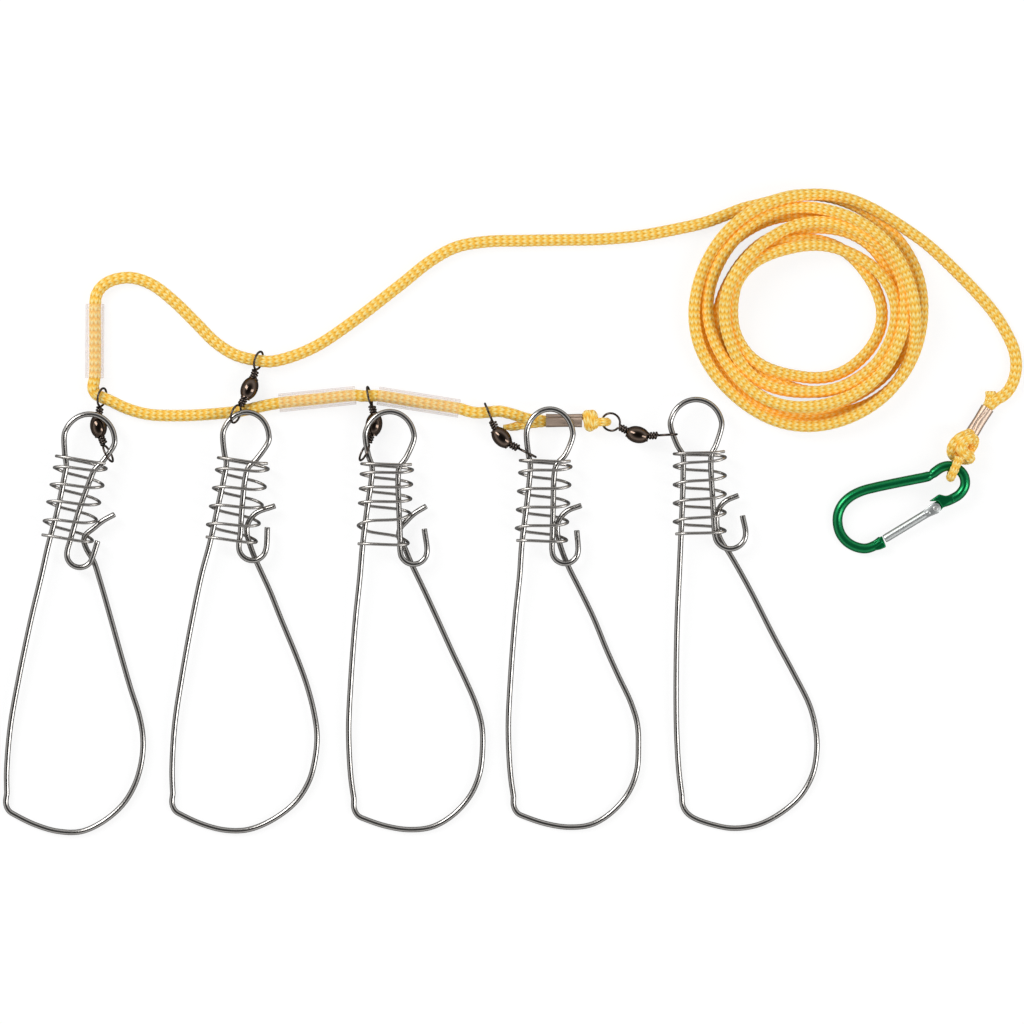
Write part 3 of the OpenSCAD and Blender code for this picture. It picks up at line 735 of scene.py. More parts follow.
@dataclass
class Rope:
    """The long rope: from the end knot along the table, round the coil and on to the clip knot."""

    finish: Material
    diameter: float = 4.7
    sides: int = 24
    rings: int = 4050
    coil_centre: tuple[float, float] = (129.6, 102.8)
    coil_start: float = 112.0
    coil_radius: float = 46.8
    coil_pitch: float = 5.2
    coil_floor: float = 2.4
    coil_lower: float = 0.8
    reach: int = 24
    crimped: float = 0.42
    turns_in: float = 3.25
    turns_over: float = 0.5
    turns_out: float = 3.394
    flatter: float = 3.0
    wander: tuple = ((1.2, 1.38, 0.1), (0.9, 2.31, 0.35), (0.35, 5.2, 0.0))
    route: tuple = (
        (38.4, 59, 2.9), (31, 59, 2.9), (24, 59, 2.9), (17, 59.6, 2.7), (10.5, 61.6, 2.9), (5.5, 62.7, 3.5),
        (1, 62.4, 3.75), (-3.5, 62.1, 3.6), (-7, 62.7, 3.4), (-10.7, 63.8, 3.2), (-27.5, 66.4, 3.2),
        (-43.2, 68.9, 3.2), (-46.6, 68.9, 3.6), (-49.4, 68.8, 3.4), (-52.2, 69.1, 3.2), (-67.5, 67.6, 3.2),
        (-82.8, 66, 3.2), (-87, 65.3, 2.8), (-92, 64.2, 2.4), (-98.4, 62.8, 2.4), (-110, 61.6, 2.4),
        (-122, 61, 2.4), (-134.4, 61.4, 2.4), (-141, 62.9, 2.6), (-146, 64.8, 3.1), (-149.8, 66.7, 3.6),
        (-153.6, 68.3, 3.75), (-156.2, 69.8, 3.6), (-157.2, 72.4, 3.4), (-156.6, 76, 3.2), (-156.4, 91, 3.2),
        (-156.4, 105.6, 3.2), (-156, 109, 2.7), (-154, 112.4, 2.4), (-150, 115, 2.4), (-142.4, 116.2, 2.4),
        (-134, 113.6, 2.4), (-125, 106.8, 2.4), (-116.4, 98.4, 2.4), (-108.4, 90.4, 2.6), (-101, 85.6, 3.2),
        (-95.5, 83.8, 3.6), (-91, 83, 3.75), (-86.5, 82.6, 3.5), (-79, 84.2, 2.8), (-68, 88.8, 2.4),
        (-54.4, 97.8, 2.4), (-34.4, 113.2, 2.4), (-22, 123, 2.4), (-12, 128.4, 2.4), (0, 130.6, 2.4),
        (15, 131, 2.4), (30, 131.3, 2.4), (45.6, 131.6, 2.4), (61.6, 133, 2.4), (75, 135.4, 2.4), (88, 138.4, 2.4),
    )
    lead: tuple = (
        (172, 132.4, 7.4), (178, 127.8, 6.6), (187, 119.6, 4.2), (195.6, 111, 2.6), (202.6, 103, 2.4),
        (207.8, 95, 2.4), (211.4, 87, 2.4), (212.2, 80, 2.4), (210.6, 73.6, 2.4), (207.6, 69.4, 2.5),
        (204, 67.2, 2.7), (200.7, 64, 2.9), (197.4, 58.7, 2.9), (194.2, 53.5, 3), (193, 51.6, 3.4),
    )
    pressed: tuple = (((37.4, 59, 2.9), (25, 59, 2.9)), ((200, 62.9, 2.9), (194.9, 54.6, 2.9)))

    def coil_point(self, s: float) -> list[float]:
        """A point of the coil.

        Args:
            s: Turns from its start.

        Returns:
            The point, in mm.
        """
        inner = self.coil_radius - self.coil_pitch * self.turns_in
        t = s - self.turns_in
        if t < 0:
            r = self.coil_radius - self.coil_pitch * s
        elif t < self.turns_over:
            r = inner - self.coil_pitch * t * (1 - t / self.turns_over)
        else:
            r = inner + self.coil_pitch * (t - self.turns_over)
        c = min(1.0, max(0.0, t / self.turns_over))
        a = math.radians(self.coil_start - 360 * s)
        calm = max(0.0, min(1.0, 3 * s, 3 * (self.turns_in + self.turns_over + self.turns_out - s)))
        depth = (self.coil_radius - r) / (self.coil_pitch * self.turns_in)
        wander = sum(size * math.sin(2 * math.pi * (often * s + late)) for size, often, late in self.wander)
        r += calm * (wander - self.flatter * depth * math.sin(a) ** 2)
        return [
            self.coil_centre[0] + r * math.cos(a),
            self.coil_centre[1] + r * math.sin(a) - self.coil_lower * calm,
            self.coil_floor + self.coil_pitch * c * c * (3 - 2 * c),
        ]

    def laid(self, line: Line, first: int, last: int) -> Line:
        """Lays the rope down in its order, each loop on what already lies there.

        Args:
            line: Centre line in mm, with about the right heights.
            first: First point of the coil.
            last: Last point of the coil.

        Returns:
            The centre line with its new heights.
        """
        near = self.reach
        base = line[:, 2].copy()
        base[first:last] = self.coil_floor
        height, apart = base.copy(), self.diameter - 0.1
        weights = np.exp(-0.5 * (np.arange(-near, near + 1) / 8.0) ** 2)
        weights /= weights.sum()
        for _ in range(3):
            for i in range(first, len(line)):
                away = np.sum((line[: i - near, :2] - line[i, :2]) ** 2, axis=1)
                under = np.flatnonzero(away < apart**2)
                touch = (height[under] + np.sqrt(apart**2 - away[under])).max() if len(under) else 0.0
                height[i] = max(base[i], touch)
            soft = np.convolve(np.pad(height, near, mode="edge"), weights, mode="valid")
            for _ in range(3):
                lack = np.maximum(0.0, height - soft)
                soft += np.convolve(np.pad(lack, near, mode="edge"), weights, mode="valid")
            base[first:] = np.maximum(base[first:], soft[first:])
        return np.column_stack([line[:, :2], np.concatenate([line[:first, 2], soft[first:]])])

    def line(self) -> Line:
        """Centre line of the whole rope, in mm."""
        turns = self.turns_in + self.turns_over + self.turns_out
        count = round(turns * 24)
        coil = np.array([self.coil_point(turns * i / count) for i in range(count + 1)])
        into = unit(coil[1] - coil[0])
        entry = coil[0] - into * self.diameter
        points = np.vstack([np.array(self.route), [entry - into * self.diameter, entry], coil, np.array(self.lead)])
        line = smooth(points, 0.6, self.rings)
        ends = [int(np.argmin(np.sum((line - p) ** 2, axis=1))) for p in (coil[0], coil[-1])]
        return self.laid(line, *ends)

    def build(self, goes_with: list[Piece]) -> Piece:
        """Makes the rope as one long tube, pressed thinner in the ferrules.

        Args:
            goes_with: Knots, loops, tails and ferrules on it; not used.

        Returns:
            The rope.
        """
        line = self.line()
        thinner = 0.0
        for a, b in np.array(self.pressed):
            away = np.min([np.linalg.norm(line - (a + (b - a) * k / 8), axis=1) for k in range(9)], axis=0)
            thinner = thinner + np.clip(1.3 - away / 2.5, 0.0, 1.0)
        size = self.diameter / 2 - self.crimped * np.clip(thinner, 0, 1)
        rope = finish_piece(rolled(line, size, self.sides, relief=Relief()), "rope", self.finish, 180.0)
        stand_for(rope, "line", "rope", "rope_stretch", "rope_coil", "rope_lead")
        return rope


@dataclass
class Knots:
    """The knots, loops and cut tails at the two ends of the rope."""

    finish: Material
    relief: Relief = Relief(wales=8, pitch=2.5, ridge=0.16, gap=0.3)
    end_knot_middle: tuple = (41.6, 58.9, 4.5)
    clip_knot_middle: tuple = (190.6, 48.4, 0.0)
    strap_point: tuple[float, float] = (187.2, 40.0)
    strap_turn: float = 68.0
    strap: float = 3.5
    play: float = 0.4
    bar_radius: float = 2.0

    def strand(
        self, name: str, node: str, points: list, diameter: float,
        end: End = End.FLAT, taper: float = 1.0, step: float = 0.5,
    ) -> Piece:
        """Makes one knitted strand that stands for a node.

        Args:
            name: Name of the piece.
            node: Node that it replaces.
            points: Points of its route, in mm.
            diameter: Its diameter, in mm.
            end: How its ends are closed.
            taper: Share of the diameter left at its first end.
            step: Length of its rings, in mm.

        Returns:
            The strand.
        """
        line = smooth(np.array(points, float), step)
        share = np.clip(np.linspace(0, 4, len(line)), 0, 1)
        size = diameter / 2 * (taper + (1 - taper) * share)
        bm = rolled(line, size, 24, end, relief=self.relief, up=np.array([0.13, 0.31, 0.94]))
        return stand_for(finish_piece(bm, name, self.finish, 70.0), "line", "knot" if "knot" in node else "rope", node)

    def end_knot(self) -> Piece:
        """The end knot: the rope turned once round itself and tucked in."""
        points = []
        for k in range(22):
            a = 2 * math.pi * (k / 14.0) - 0.9
            turn = np.array([-1.2 + 2.6 * k / 21, 2.32 * math.cos(a), 2.15 * math.sin(a)])
            points.append(np.array(self.end_knot_middle) + turn)
        return self.strand("end_knot_turns", "end_knot", points, 4.3, End.ROUND)

    def turned(self, middle: Line, ahead: Line, bend: float, leg: float) -> list[Line]:
        """A strand that turns back round a wire or a bar.

        Args:
            middle: Middle of the bend, in mm.
            ahead: Direction in which the bend points.
            bend: Its radius, in mm.
            leg: Length of its two straight legs, in mm.

        Returns:
            Points of the strand, in mm.
        """
        points = [middle - leg * ahead + bend * UP]
        for k in range(9):
            points.append(middle + bend * math.sin(math.pi * k / 8) * ahead + bend * math.cos(math.pi * k / 8) * UP)
        return points + [middle - leg * ahead - bend * UP]

    def clip_knot(self) -> Piece:
        """The clip knot: an overhand knot pulled tight, with the strand over and under itself."""
        spots = [
            (3.2, 5.4, 3.6), (1.6, 4.6, 6.4), (-1.4, 3.4, 9.2), (-3.9, 0.6, 8.2), (-4.1, -2.6, 5.2), (-1.9, -3.9, 2.9),
            (1.6, -2.4, 2.4), (3.9, 0.6, 3.4), (4.2, 2.9, 6.2), (2.1, 3.4, 8.9), (-0.7, 0.7, 9.9), (-0.4, -2.0, 9.9),
            (2.0, -3.6, 8.6), (2.6, -4.6, 5.6), (0.6, -4.9, 3.4), (-1.6, -4.6, 4.4),
        ]
        points = [np.array(self.clip_knot_middle) + np.array(spot) for spot in spots]
        return self.strand("clip_knot_turns", "clip_knot", points, 4.5, End.ROUND)

    def end_loop(self) -> Piece:
        """The loop of the end knot round the ring of swivel 5."""
        points = self.turned(np.array([46.35, 58.4, 4.65]), np.array([1.0, 0.0, 0.0]), 2.15, 2.6)
        return self.strand("end_loop_strand", "end_loop", points, 3.3, step=0.3)

    def clip_loop(self, bar_height: float) -> Piece:
        """The strap of the clip knot round the carabiner's bar.

        Args:
            bar_height: Height of the bar's middle there, in mm.

        Returns:
            The strap.
        """
        middle = np.array([*self.strap_point, bar_height])
        bend = self.strap / 2 + self.play + self.bar_radius
        points = self.turned(middle, -way(self.strap_turn, 0), bend, 4.6)
        return self.strand("clip_loop_strap", "clip_loop", points, self.strap, step=0.3)

    def tails(self) -> list[Piece]:
        """The two cut tails of the knots."""
        end = [[7, 56.4, 1.8], [10, 56.4, 1.8], [13.5, 57, 1.8], [18, 57.6, 2.1], [23.6, 58.2, 2.6]]
        clip = [[202, 70.4, 2.4], [201.9, 67.6, 2.4], [201, 64.8, 2.6]]
        return [
            self.strand("end_tail_strand", "end_tail", end, 3.4, End.SMALL, taper=0.55),
            self.strand("clip_tail_strand", "clip_tail", clip, 4.2, End.SMALL),
        ]


@dataclass
class Ferrule:
    """A strip of metal folded round two strands of rope and crimped."""

    finish: Material
    name: str
    start: tuple[float, float, float]
    stop: tuple[float, float, float]
    crimps: int
    seam_wave: float
    seam_at: float = 0.0
    square: float = 2.6
    outside: float = 5.8
    wall: float = 0.42
    seam: float = 0.18

    def build(self) -> Piece:
        """Rolls the strip, leaves its seam open on top and gives it a wall."""
        start, along = np.array(self.start), np.array(self.stop) - np.array(self.start)
        side = unit(np.cross(unit(along), UP))
        gap = 1 - self.seam / self.outside / math.pi
        bm = bmesh.new()
        bmesh.ops.create_grid(bm, x_segments=48, y_segments=64, size=1)
        for v in bm.verts:
            s, t = (v.co.x + 1) / 2, v.co.y
            press = 1 - 0.05 * (0.5 - 0.5 * math.cos(2 * math.pi * self.crimps * s))
            wave = self.seam_wave * math.sin(2 * math.pi * (s * self.crimps + 0.2))
            turn = math.pi * t * gap + wave * 0.5 * abs(t) + math.radians(self.seam_at)
            c, z = math.sin(turn), -math.cos(turn)
            flat = (abs(c) ** self.square + abs(z) ** self.square) ** (-1 / self.square)
            curl = 0.3 * max(0.0, abs(t) - 0.9) / 0.1
            r = (self.outside / 2 - self.wall / 2) * press * flat - curl
            v.co = Vector(start + along * s + r * (c * side + z * UP))
        bmesh.ops.recalc_face_normals(bm, faces=bm.faces)
        bmesh.ops.solidify(bm, geom=bm.faces[:], thickness=self.wall)
        return stand_for(finish_piece(bm, self.name + "_fold", self.finish, 35.0), "line", "ferrule", self.name)


@dataclass
class SpacerTubes:
    """The three clear tubes that keep the swivels apart."""

    finish: Material
    outside: float = 7.4
    wall: float = 0.55
    ends: tuple = (
        ((-156.6, 76, 3.8), (-156.4, 105.6, 3.8)),
        ((-52.2, 69.1, 3.8), (-82.8, 66, 3.8)),
        ((-10.7, 63.8, 3.8), (-43.2, 68.9, 3.8)),
    )

    def build(self) -> None:
        """Turns each tube with softened rims."""
        o, q, e = self.outside / 2, self.outside / 2 - self.wall, 0.15
        for i, (a, b) in enumerate(np.array(self.ends), 1):
            x, y, _ = b - a
            h = float(np.linalg.norm(b - a))
            profile = [
                (q, e / 2), (q + e / 2, 0), (o - e, 0), (o, e), (o, h - e), (o - e, h), (q + e / 2, h), (q, h - e / 2),
            ]
            bm = placed(spun(profile, 64), aim(a, math.degrees(math.atan2(y, x)), 0))
            stand_for(finish_piece(bm, f"clear_tube_{i}", self.finish, 30.0), "line", "tube", f"spacer_tube_{i}")


# ---------------------------------------------------------------- swivels


@dataclass
class Swivels:
    """Five barrel swivels: two wire eyes, twisted round themselves, whose heads turn in a barrel."""

    wire_finish: Material
    barrel_finish: Material
    wire: float = 0.9
    bore: float = 6.4
    wraps: float = 3.2
    neck: tuple = ((0, 0, 6.4), (0, 0, 5.2), (0, 0.1, 4.6))
    tuck: tuple = (-0.5, -0.35, 3.95)
    wrapped: tuple[float, float] = (4.2, 3.5)
    wrap_turns: tuple[float, float] = (200, 40)
    head: float = 4.2
    slack: tuple[float, ...] = (22.0, 22.0, 8.0, 0.0, 22.0)
    length: float = 9.0
    diameter: float = 6.8
    opening: float = 3.8
    egg: float = 4.9
    wall: float = 0.43
    reach: float = 9.2
    link_reach: float = 9.6
    apart: float = 2.6
    centres: tuple = ((-153.6, 68.3, 4.1), (-91, 83, 4.1), (-46.6, 68.9, 4.1), (1, 62.4, 4.1), (50, 58.4, 4.65))
    eye_turns: tuple = ((-100.7, -2.7), (-106.5, 0.6), (-76.6, -4.2), (-67.1, 11.2), (-29.1, 2.8))
    barrel_turns: tuple = ((-83, 7.5), (-112.6, 11.4), (-97.9, 0), (-47.4, 1.1), (-13.4, 5.4))
    link_turns: tuple = ((-66, 17), (-118.2, 20.4), (-111.8, 16.9), (-26.4, 1.8), (3.1, 5.2))
    wire_turns: tuple = (61.4, 206.8, -70.7, -73.7, -71.9)
    eye_rolls: tuple = (90, 90, 90, 90, 0)

    def eye(self, reach: float) -> Mesh:
        """A wire eye in its own place: ring round the origin, head up the Z axis.

        Args:
            reach: Distance from the ring's centre to the head, in mm.

        Returns:
            The mesh in mm.
        """
        ring, coil = (self.bore + self.wire) / 2, self.wraps / 2 - self.wire / 2
        (low, rise), (first, step) = self.wrapped, self.wrap_turns
        line = [[0, 0, reach - 0.6], [0, 0, reach - 2.0], *self.neck]
        for a in np.radians(90 - 15 * np.arange(1, 24)):
            line.append([ring * math.cos(a), 0.0, ring * math.sin(a)])
        line.append(self.tuck)
        for k in range(30):
            a = math.radians(first + step * k)
            wide = coil * (1.0 if k < 18 else 1.0 - 0.1 * (k - 18) / 12)
            line.append([wide * math.cos(a), wide * math.sin(a), low + rise * k / 29])
        wire = rolled(smooth(np.array(line), 0.28), self.wire / 2, 12, End.ROUND, up=np.array([0.0, 1.0, 0.2]))
        head = bmesh.new()
        bmesh.ops.create_uvsphere(head, u_segments=24, v_segments=14, radius=self.head / 2)
        return joined([wire, placed(head, Matrix.Translation((0, 0, reach)))])

    def barrel(self) -> Mesh:
        """The hollow barrel: an egg-shaped shell with both ends drawn in."""
        half, hole, wall, steps = self.length / 2, self.opening / 2, self.wall, 20
        heights = [half * math.sin(math.pi * (k / steps - 0.5)) for k in range(steps + 1)]
        outer = [(self.diameter / 2 * (1 - (abs(z) / self.egg) ** 2.0) ** 0.5, z) for z in heights]
        rim = [(hole + 0.12, half - 0.02), (hole, half - 0.14), (hole, half - wall)]
        inner = [(max(hole, r - wall), z) for r, z in reversed(outer) if abs(z) < half - 2 * wall]
        return spun(outer + rim + inner + [(r, -z) for r, z in reversed(rim)], 48)

    def roll(self, i: int) -> float:
        """Roll of the lower eye of a swivel, which lets the snap's wire through.

        Args:
            i: Number of the swivel, from 0.

        Returns:
            The roll in degrees.
        """
        t, turn, rise = way(self.wire_turns[i], 0), self.link_turns[i][0] + 180, -self.link_turns[i][1]
        a, b = math.radians(turn), math.radians(rise)
        x = np.array([math.sin(b) * math.cos(a), math.sin(b) * math.sin(a), -math.cos(b)])
        y = np.array([-math.sin(a), math.cos(a), 0.0])
        return math.degrees(math.atan2(t @ y, t @ x)) - 90

    def build(self) -> None:
        """Makes all the swivels in their places."""
        for i in range(5):
            turn, rise = self.link_turns[i]
            upper = np.array(self.centres[i]) + self.reach * way(*self.eye_turns[i])
            along = way(*self.barrel_turns[i])
            link = upper + 2 * self.apart * along + self.link_reach * way(turn, rise)
            rows = (
                (self.eye(self.reach), "eye", self.wire_finish, "swivel",
                 aim(self.centres[i], *self.eye_turns[i], self.eye_rolls[i] - 90 + self.slack[i])),
                (self.barrel(), "barrel", self.barrel_finish, "barrel",
                 aim(upper + self.apart * along, *self.barrel_turns[i])),
                (self.eye(self.link_reach), "link", self.wire_finish, "swivel",
                 aim(link, turn + 180, -rise, self.roll(i))),
            )
            for bm, kind, finish, slot, place in rows:
                node = f"swivel_{kind}_{i + 1}"
                stand_for(finish_piece(placed(bm, place), node + "_shape", finish), f"{kind}_{i + 1}", slot, node)


# ---------------------------------------------------------------- snaps


@dataclass
class Snaps:
    """Five wire snaps: frame with ring and hook, hinged arm with its finger, and lock spring."""

    wire_finish: Material
    spring_finish: Material
    wire: float = 2.2
    spring_wire: float = 1.2
    height: float = 7.85
    tilt: float = 2.38
    ring_radius: float = 10.7
    ring_widths: tuple = (10.2, 9.3, 9.8, 9.3, 10.3)
    hook_centres: tuple = ((4.9, -45.3), (9.7, -42.1), (12.2, -44.3), (8.9, -45.4), (13.7, -42.8))
    hook_radii: tuple = (5.2, 5.5, 5.4, 5.2, 6.2)
    hook_tips: tuple = ((10.9, -38.8), (14.3, -33.6), (16, -35.4), (13.1, -37.2), (18.6, -35.8))
    centres: tuple = ((-158.5, 50.8), (-96, 51.6), (-38.5, 51.8), (25.4, 52.8), (83.9, 56.6))
    turns: tuple = (-11, -9.4, -3.4, -3.4, 0)
    short: tuple = (1, 1, 1, 1, 0)
    right_rails: tuple = (
        ((0.1, -40), (1.3, -28), (3.4, -15), (4.2, -11.2), (6.7, -7.4)),
        ((4.1, -38), (3.1, -28), (2.4, -15), (2.9, -11.2), (5.6, -7.4)),
        ((6.6, -40), (5.4, -28), (4.3, -15), (4.6, -11.2), (7, -7.4)),
        ((3.5, -40), (3.1, -28), (2.8, -15), (3.5, -11.2), (6.6, -7.4)),
        ((7.3, -40), (6.6, -28), (5.9, -15), (6.2, -11.2), (8, -7.4)),
    )
    left_rails: tuple = (
        ((-8.4, -7.4), (-7.1, -11.2), (-7, -17), (-7.2, -30), (-8.2, -44)),
        ((-7.3, -7.4), (-6, -10.6), (-6, -17.6), (-6.6, -30), (-7.4, -44)),
        ((-8, -7.4), (-6.3, -11.6), (-6.3, -17.6), (-7.4, -30), (-8.3, -44)),
        ((-8.1, -7.4), (-7, -11.8), (-7, -19), (-7.6, -30), (-8.5, -44)),
        ((-7.6, -7.4), (-5.2, -11.6), (-5.1, -17), (-5.4, -30), (-6, -44)),
    )
    wire_long: tuple = ((-6.6, -58), (-7.4, -77), (-7.8, -100), (-7.6, -122), (-6.7, -138), (-5.6, -147))
    wire_short: tuple = ((-8.6, -56), (-9.4, -74), (-9.8, -98), (-9.5, -118), (-7.6, -136), (-5.9, -144.6))
    heel: tuple = (
        (-5.8, -145.05), (-5.5, -148.9), (-3.8, -151.6), (-0.4, -153), (8, -155.2), (17, -156), (26, -154.4),
    )
    arms: tuple = (
        ((33.6, -149.2), (40.4, -140.8), (43.8, -131.8), (44.7, -121.8), (43.5, -112.8), (40.4, -104.4),
         (35, -94.5), (29.7, -84.2), (21.8, -68.4), (14.8, -54.6), (10.6, -47), (7, -42.9), (5.2, -39.6),
         (5.6, -37.2), (8.1, -34.2), (11.3, -30.4), (15.3, -27.1)),
        ((35.1, -148.9), (43.1, -140.4), (47.1, -131.3), (48.1, -121.2), (47.3, -112.2), (44.7, -103.8),
         (40.2, -93.6), (34.5, -83.4), (25.4, -68.7), (19.3, -58.6), (14.6, -51.6), (10.9, -46), (8.4, -41.5),
         (6.6, -37.5), (6.2, -33.8), (8.7, -28.8), (15.8, -24.6)),
        ((34, -149.2), (40.6, -140.9), (43.8, -131.9), (44.4, -121.9), (43.6, -112.9), (40.8, -104.5),
         (35.8, -94.5), (30.2, -84.3), (23.2, -71), (17.6, -60.5), (11.6, -49.6), (7.8, -42), (6, -39.2),
         (6.2, -36), (8.6, -32.8), (11.6, -29.5), (16.1, -26.3)),
        ((33.6, -149.2), (39.9, -141), (42.8, -132), (42.9, -122), (41.9, -113), (38.8, -104.6), (33.4, -94.7),
         (28, -84.4), (22.1, -72.1), (15.8, -60.8), (11.1, -52.7), (8, -46.4), (6.4, -42.1), (5.4, -38.2),
         (5.6, -34), (8.6, -29.8), (14.2, -27.1)),
        ((-5.5, -147.45), (-5.2, -151.6), (-3.6, -154.6), (-0.6, -156.9), (7, -159.6), (15.3, -161),
         (25, -159.6), (34, -155), (42, -148), (46.8, -139.4), (48.5, -130), (48.1, -121.5), (45.7, -112),
         (39, -98.5), (31.4, -84.4), (20.9, -63.9), (13.3, -50.6), (10.6, -46.6), (9.2, -43.4), (8.5, -39.8),
         (8.5, -35.6), (9.9, -32), (12.3, -29.7), (16.9, -27.7)),
    )
    arm_drops: tuple = (
        0, 0, 0, 0, 0, 0, 0, 0, 0, 0, -0.1, -0.3, -0.6, -1, -1.5, -2, -2.4, -2.6, -2.6, -2.6, -2.5, -2.2, -1.7, -1.2,
    )
    spring_middles: tuple = (-1.4, 0.7, -0.3, -0.9, 1.5)
    spring_bottoms: tuple = (-40.4, -41.2, -42.8, -42.5, -43)
    spring_firsts: tuple = (0.29, 0.25, 0.41, 0.25, 0.25)
    spring_half: tuple[float, float] = (9.6, 5.4)
    spring_open: float = 29.6
    spring_end: float = 2.4
    spring_top: float = 33.2

    def on_snap(self, i: int, p: Line) -> Line:
        """Points of the plane of snap i, put in the object's place, in mm."""
        spin = Matrix.Rotation(math.radians(self.turns[i]), 3, "Z") @ Matrix.Rotation(math.radians(self.tilt), 3, "X")
        return p @ np.array(spin).T + np.array([*self.centres[i], self.height])

    def left_wire(self, i: int) -> Line:
        """Points of the long left wire of snap i, between the shorter and the longer shape, in mm."""
        f = self.short[i]
        return np.array(self.wire_short, float) * f + np.array(self.wire_long, float) * (1 - f)

    def frame_line(self, i: int) -> Line:
        """Centre line of a frame, from the hook's tip to the hinge.

        Args:
            i: Number of the snap, from 0.

        Returns:
            Points in the snap's plane, in mm.
        """
        (x, y), r = self.hook_centres[i], self.hook_radii[i]
        hook = [(x + r * math.cos(-math.pi * k / 6), y + r * math.sin(-math.pi * k / 6)) for k in range(7)]
        around = [math.radians(-25 + 230 * k / 16) for k in range(2, 15)]
        ring = [(self.ring_widths[i] * math.cos(a), self.ring_radius * math.sin(a)) for a in around]
        rows = [self.hook_tips[i], *hook, *self.right_rails[i], *ring, *self.left_rails[i], *self.left_wire(i)]
        return np.array([[x, y, 0.0] for x, y in rows] + [self.hinge(i)])

    def arm(self, i: int) -> tuple:
        """Points of the arm of snap i, flat, in mm; the heel is the same where the wire is short."""
        return (*self.heel, *self.arms[i]) if self.short[i] else self.arms[i]

    def hinge(self, i: int) -> Line:
        """The point in the plane of snap i where its arm's wire flexes, in mm."""
        return np.array([*((self.left_wire(i)[-1] + np.array(self.arm(i)[0])) / 2), 0.0])

    def arm_line(self, i: int) -> Line:
        """Centre line of the arm of snap i, from the hinge to the tip of its finger, in mm."""
        rows = [[x, y, z] for (x, y), z in zip(self.arm(i), self.arm_drops)]
        return np.array([self.hinge(i), *rows[1:]])

    def spring_line(self, i: int) -> Line:
        """Centre line of a lock spring: a flattened coil, open in its middle and closed at its ends.

        Args:
            i: Number of the snap, from 0.

        Returns:
            Points in the snap's plane, in mm.
        """
        first, corner = self.spring_firsts[i], math.cos(math.pi / 8) ** 0.5
        rows = []
        for k in range(44):
            t = (k + 0.5) / 8 - 0.5
            c, s = math.cos(2 * math.pi * t), math.sin(2 * math.pi * t)
            x, z = (math.copysign(abs(v) ** 0.5, v) / corner for v in (c, s))
            if t < 0:
                h = self.spring_end * t
            elif t < 4:
                h = self.spring_open * (first * t if t < 1 else first + (1 - first) * (t - 1) / 3)
            else:
                h = self.spring_open + self.spring_end * (t - 4)
            wide, deep = self.spring_half
            rows.append([self.spring_middles[i] + wide * x, self.spring_bottoms[i] + 1.2 + h, -deep * z])
        return np.array(rows)

    def build(self) -> None:
        """Makes all the snaps in their places."""
        up = np.array([0.0, 1.0, 0.1])
        for i in range(5):
            k = i + 1
            frame_wire = smooth(self.on_snap(i, self.frame_line(i)), 0.9)
            arm_wire = smooth(self.on_snap(i, self.arm_line(i)), 0.9)
            spring = smooth(self.on_snap(i, self.spring_line(i)), 0.7)
            r, thin, steel = self.wire / 2, self.spring_wire / 2, self.wire_finish
            rows = (
                (rolled(frame_wire, r, 16, End.SMALL, tail=End.ROUND), "snap_frame", "snap", steel, "wire"),
                (rolled(arm_wire, r, 16, End.ROUND, tail=End.SMALL), "snap_arm", "arm", steel, "wire"),
                (rolled(spring, thin, 12, End.SMALL, up=up), "lock_spring", "snap", self.spring_finish, "spring"),
            )
            for bm, node, body, finish, slot in rows:
                piece = finish_piece(bm, f"{node}_{k}_shape", finish)
                stand_for(piece, f"{body}_{k}", slot, f"{node}_{k}")
            top = [self.spring_middles[i], self.spring_bottoms[i] + self.spring_top, 0.0]
            middle, ahead, top = self.on_snap(i, np.array([[0.0, 0.0, 0.0], [0.0, 1.0, 0.0], top]))
            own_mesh(piece)


# ---------------------------------------------------------------- carabiner


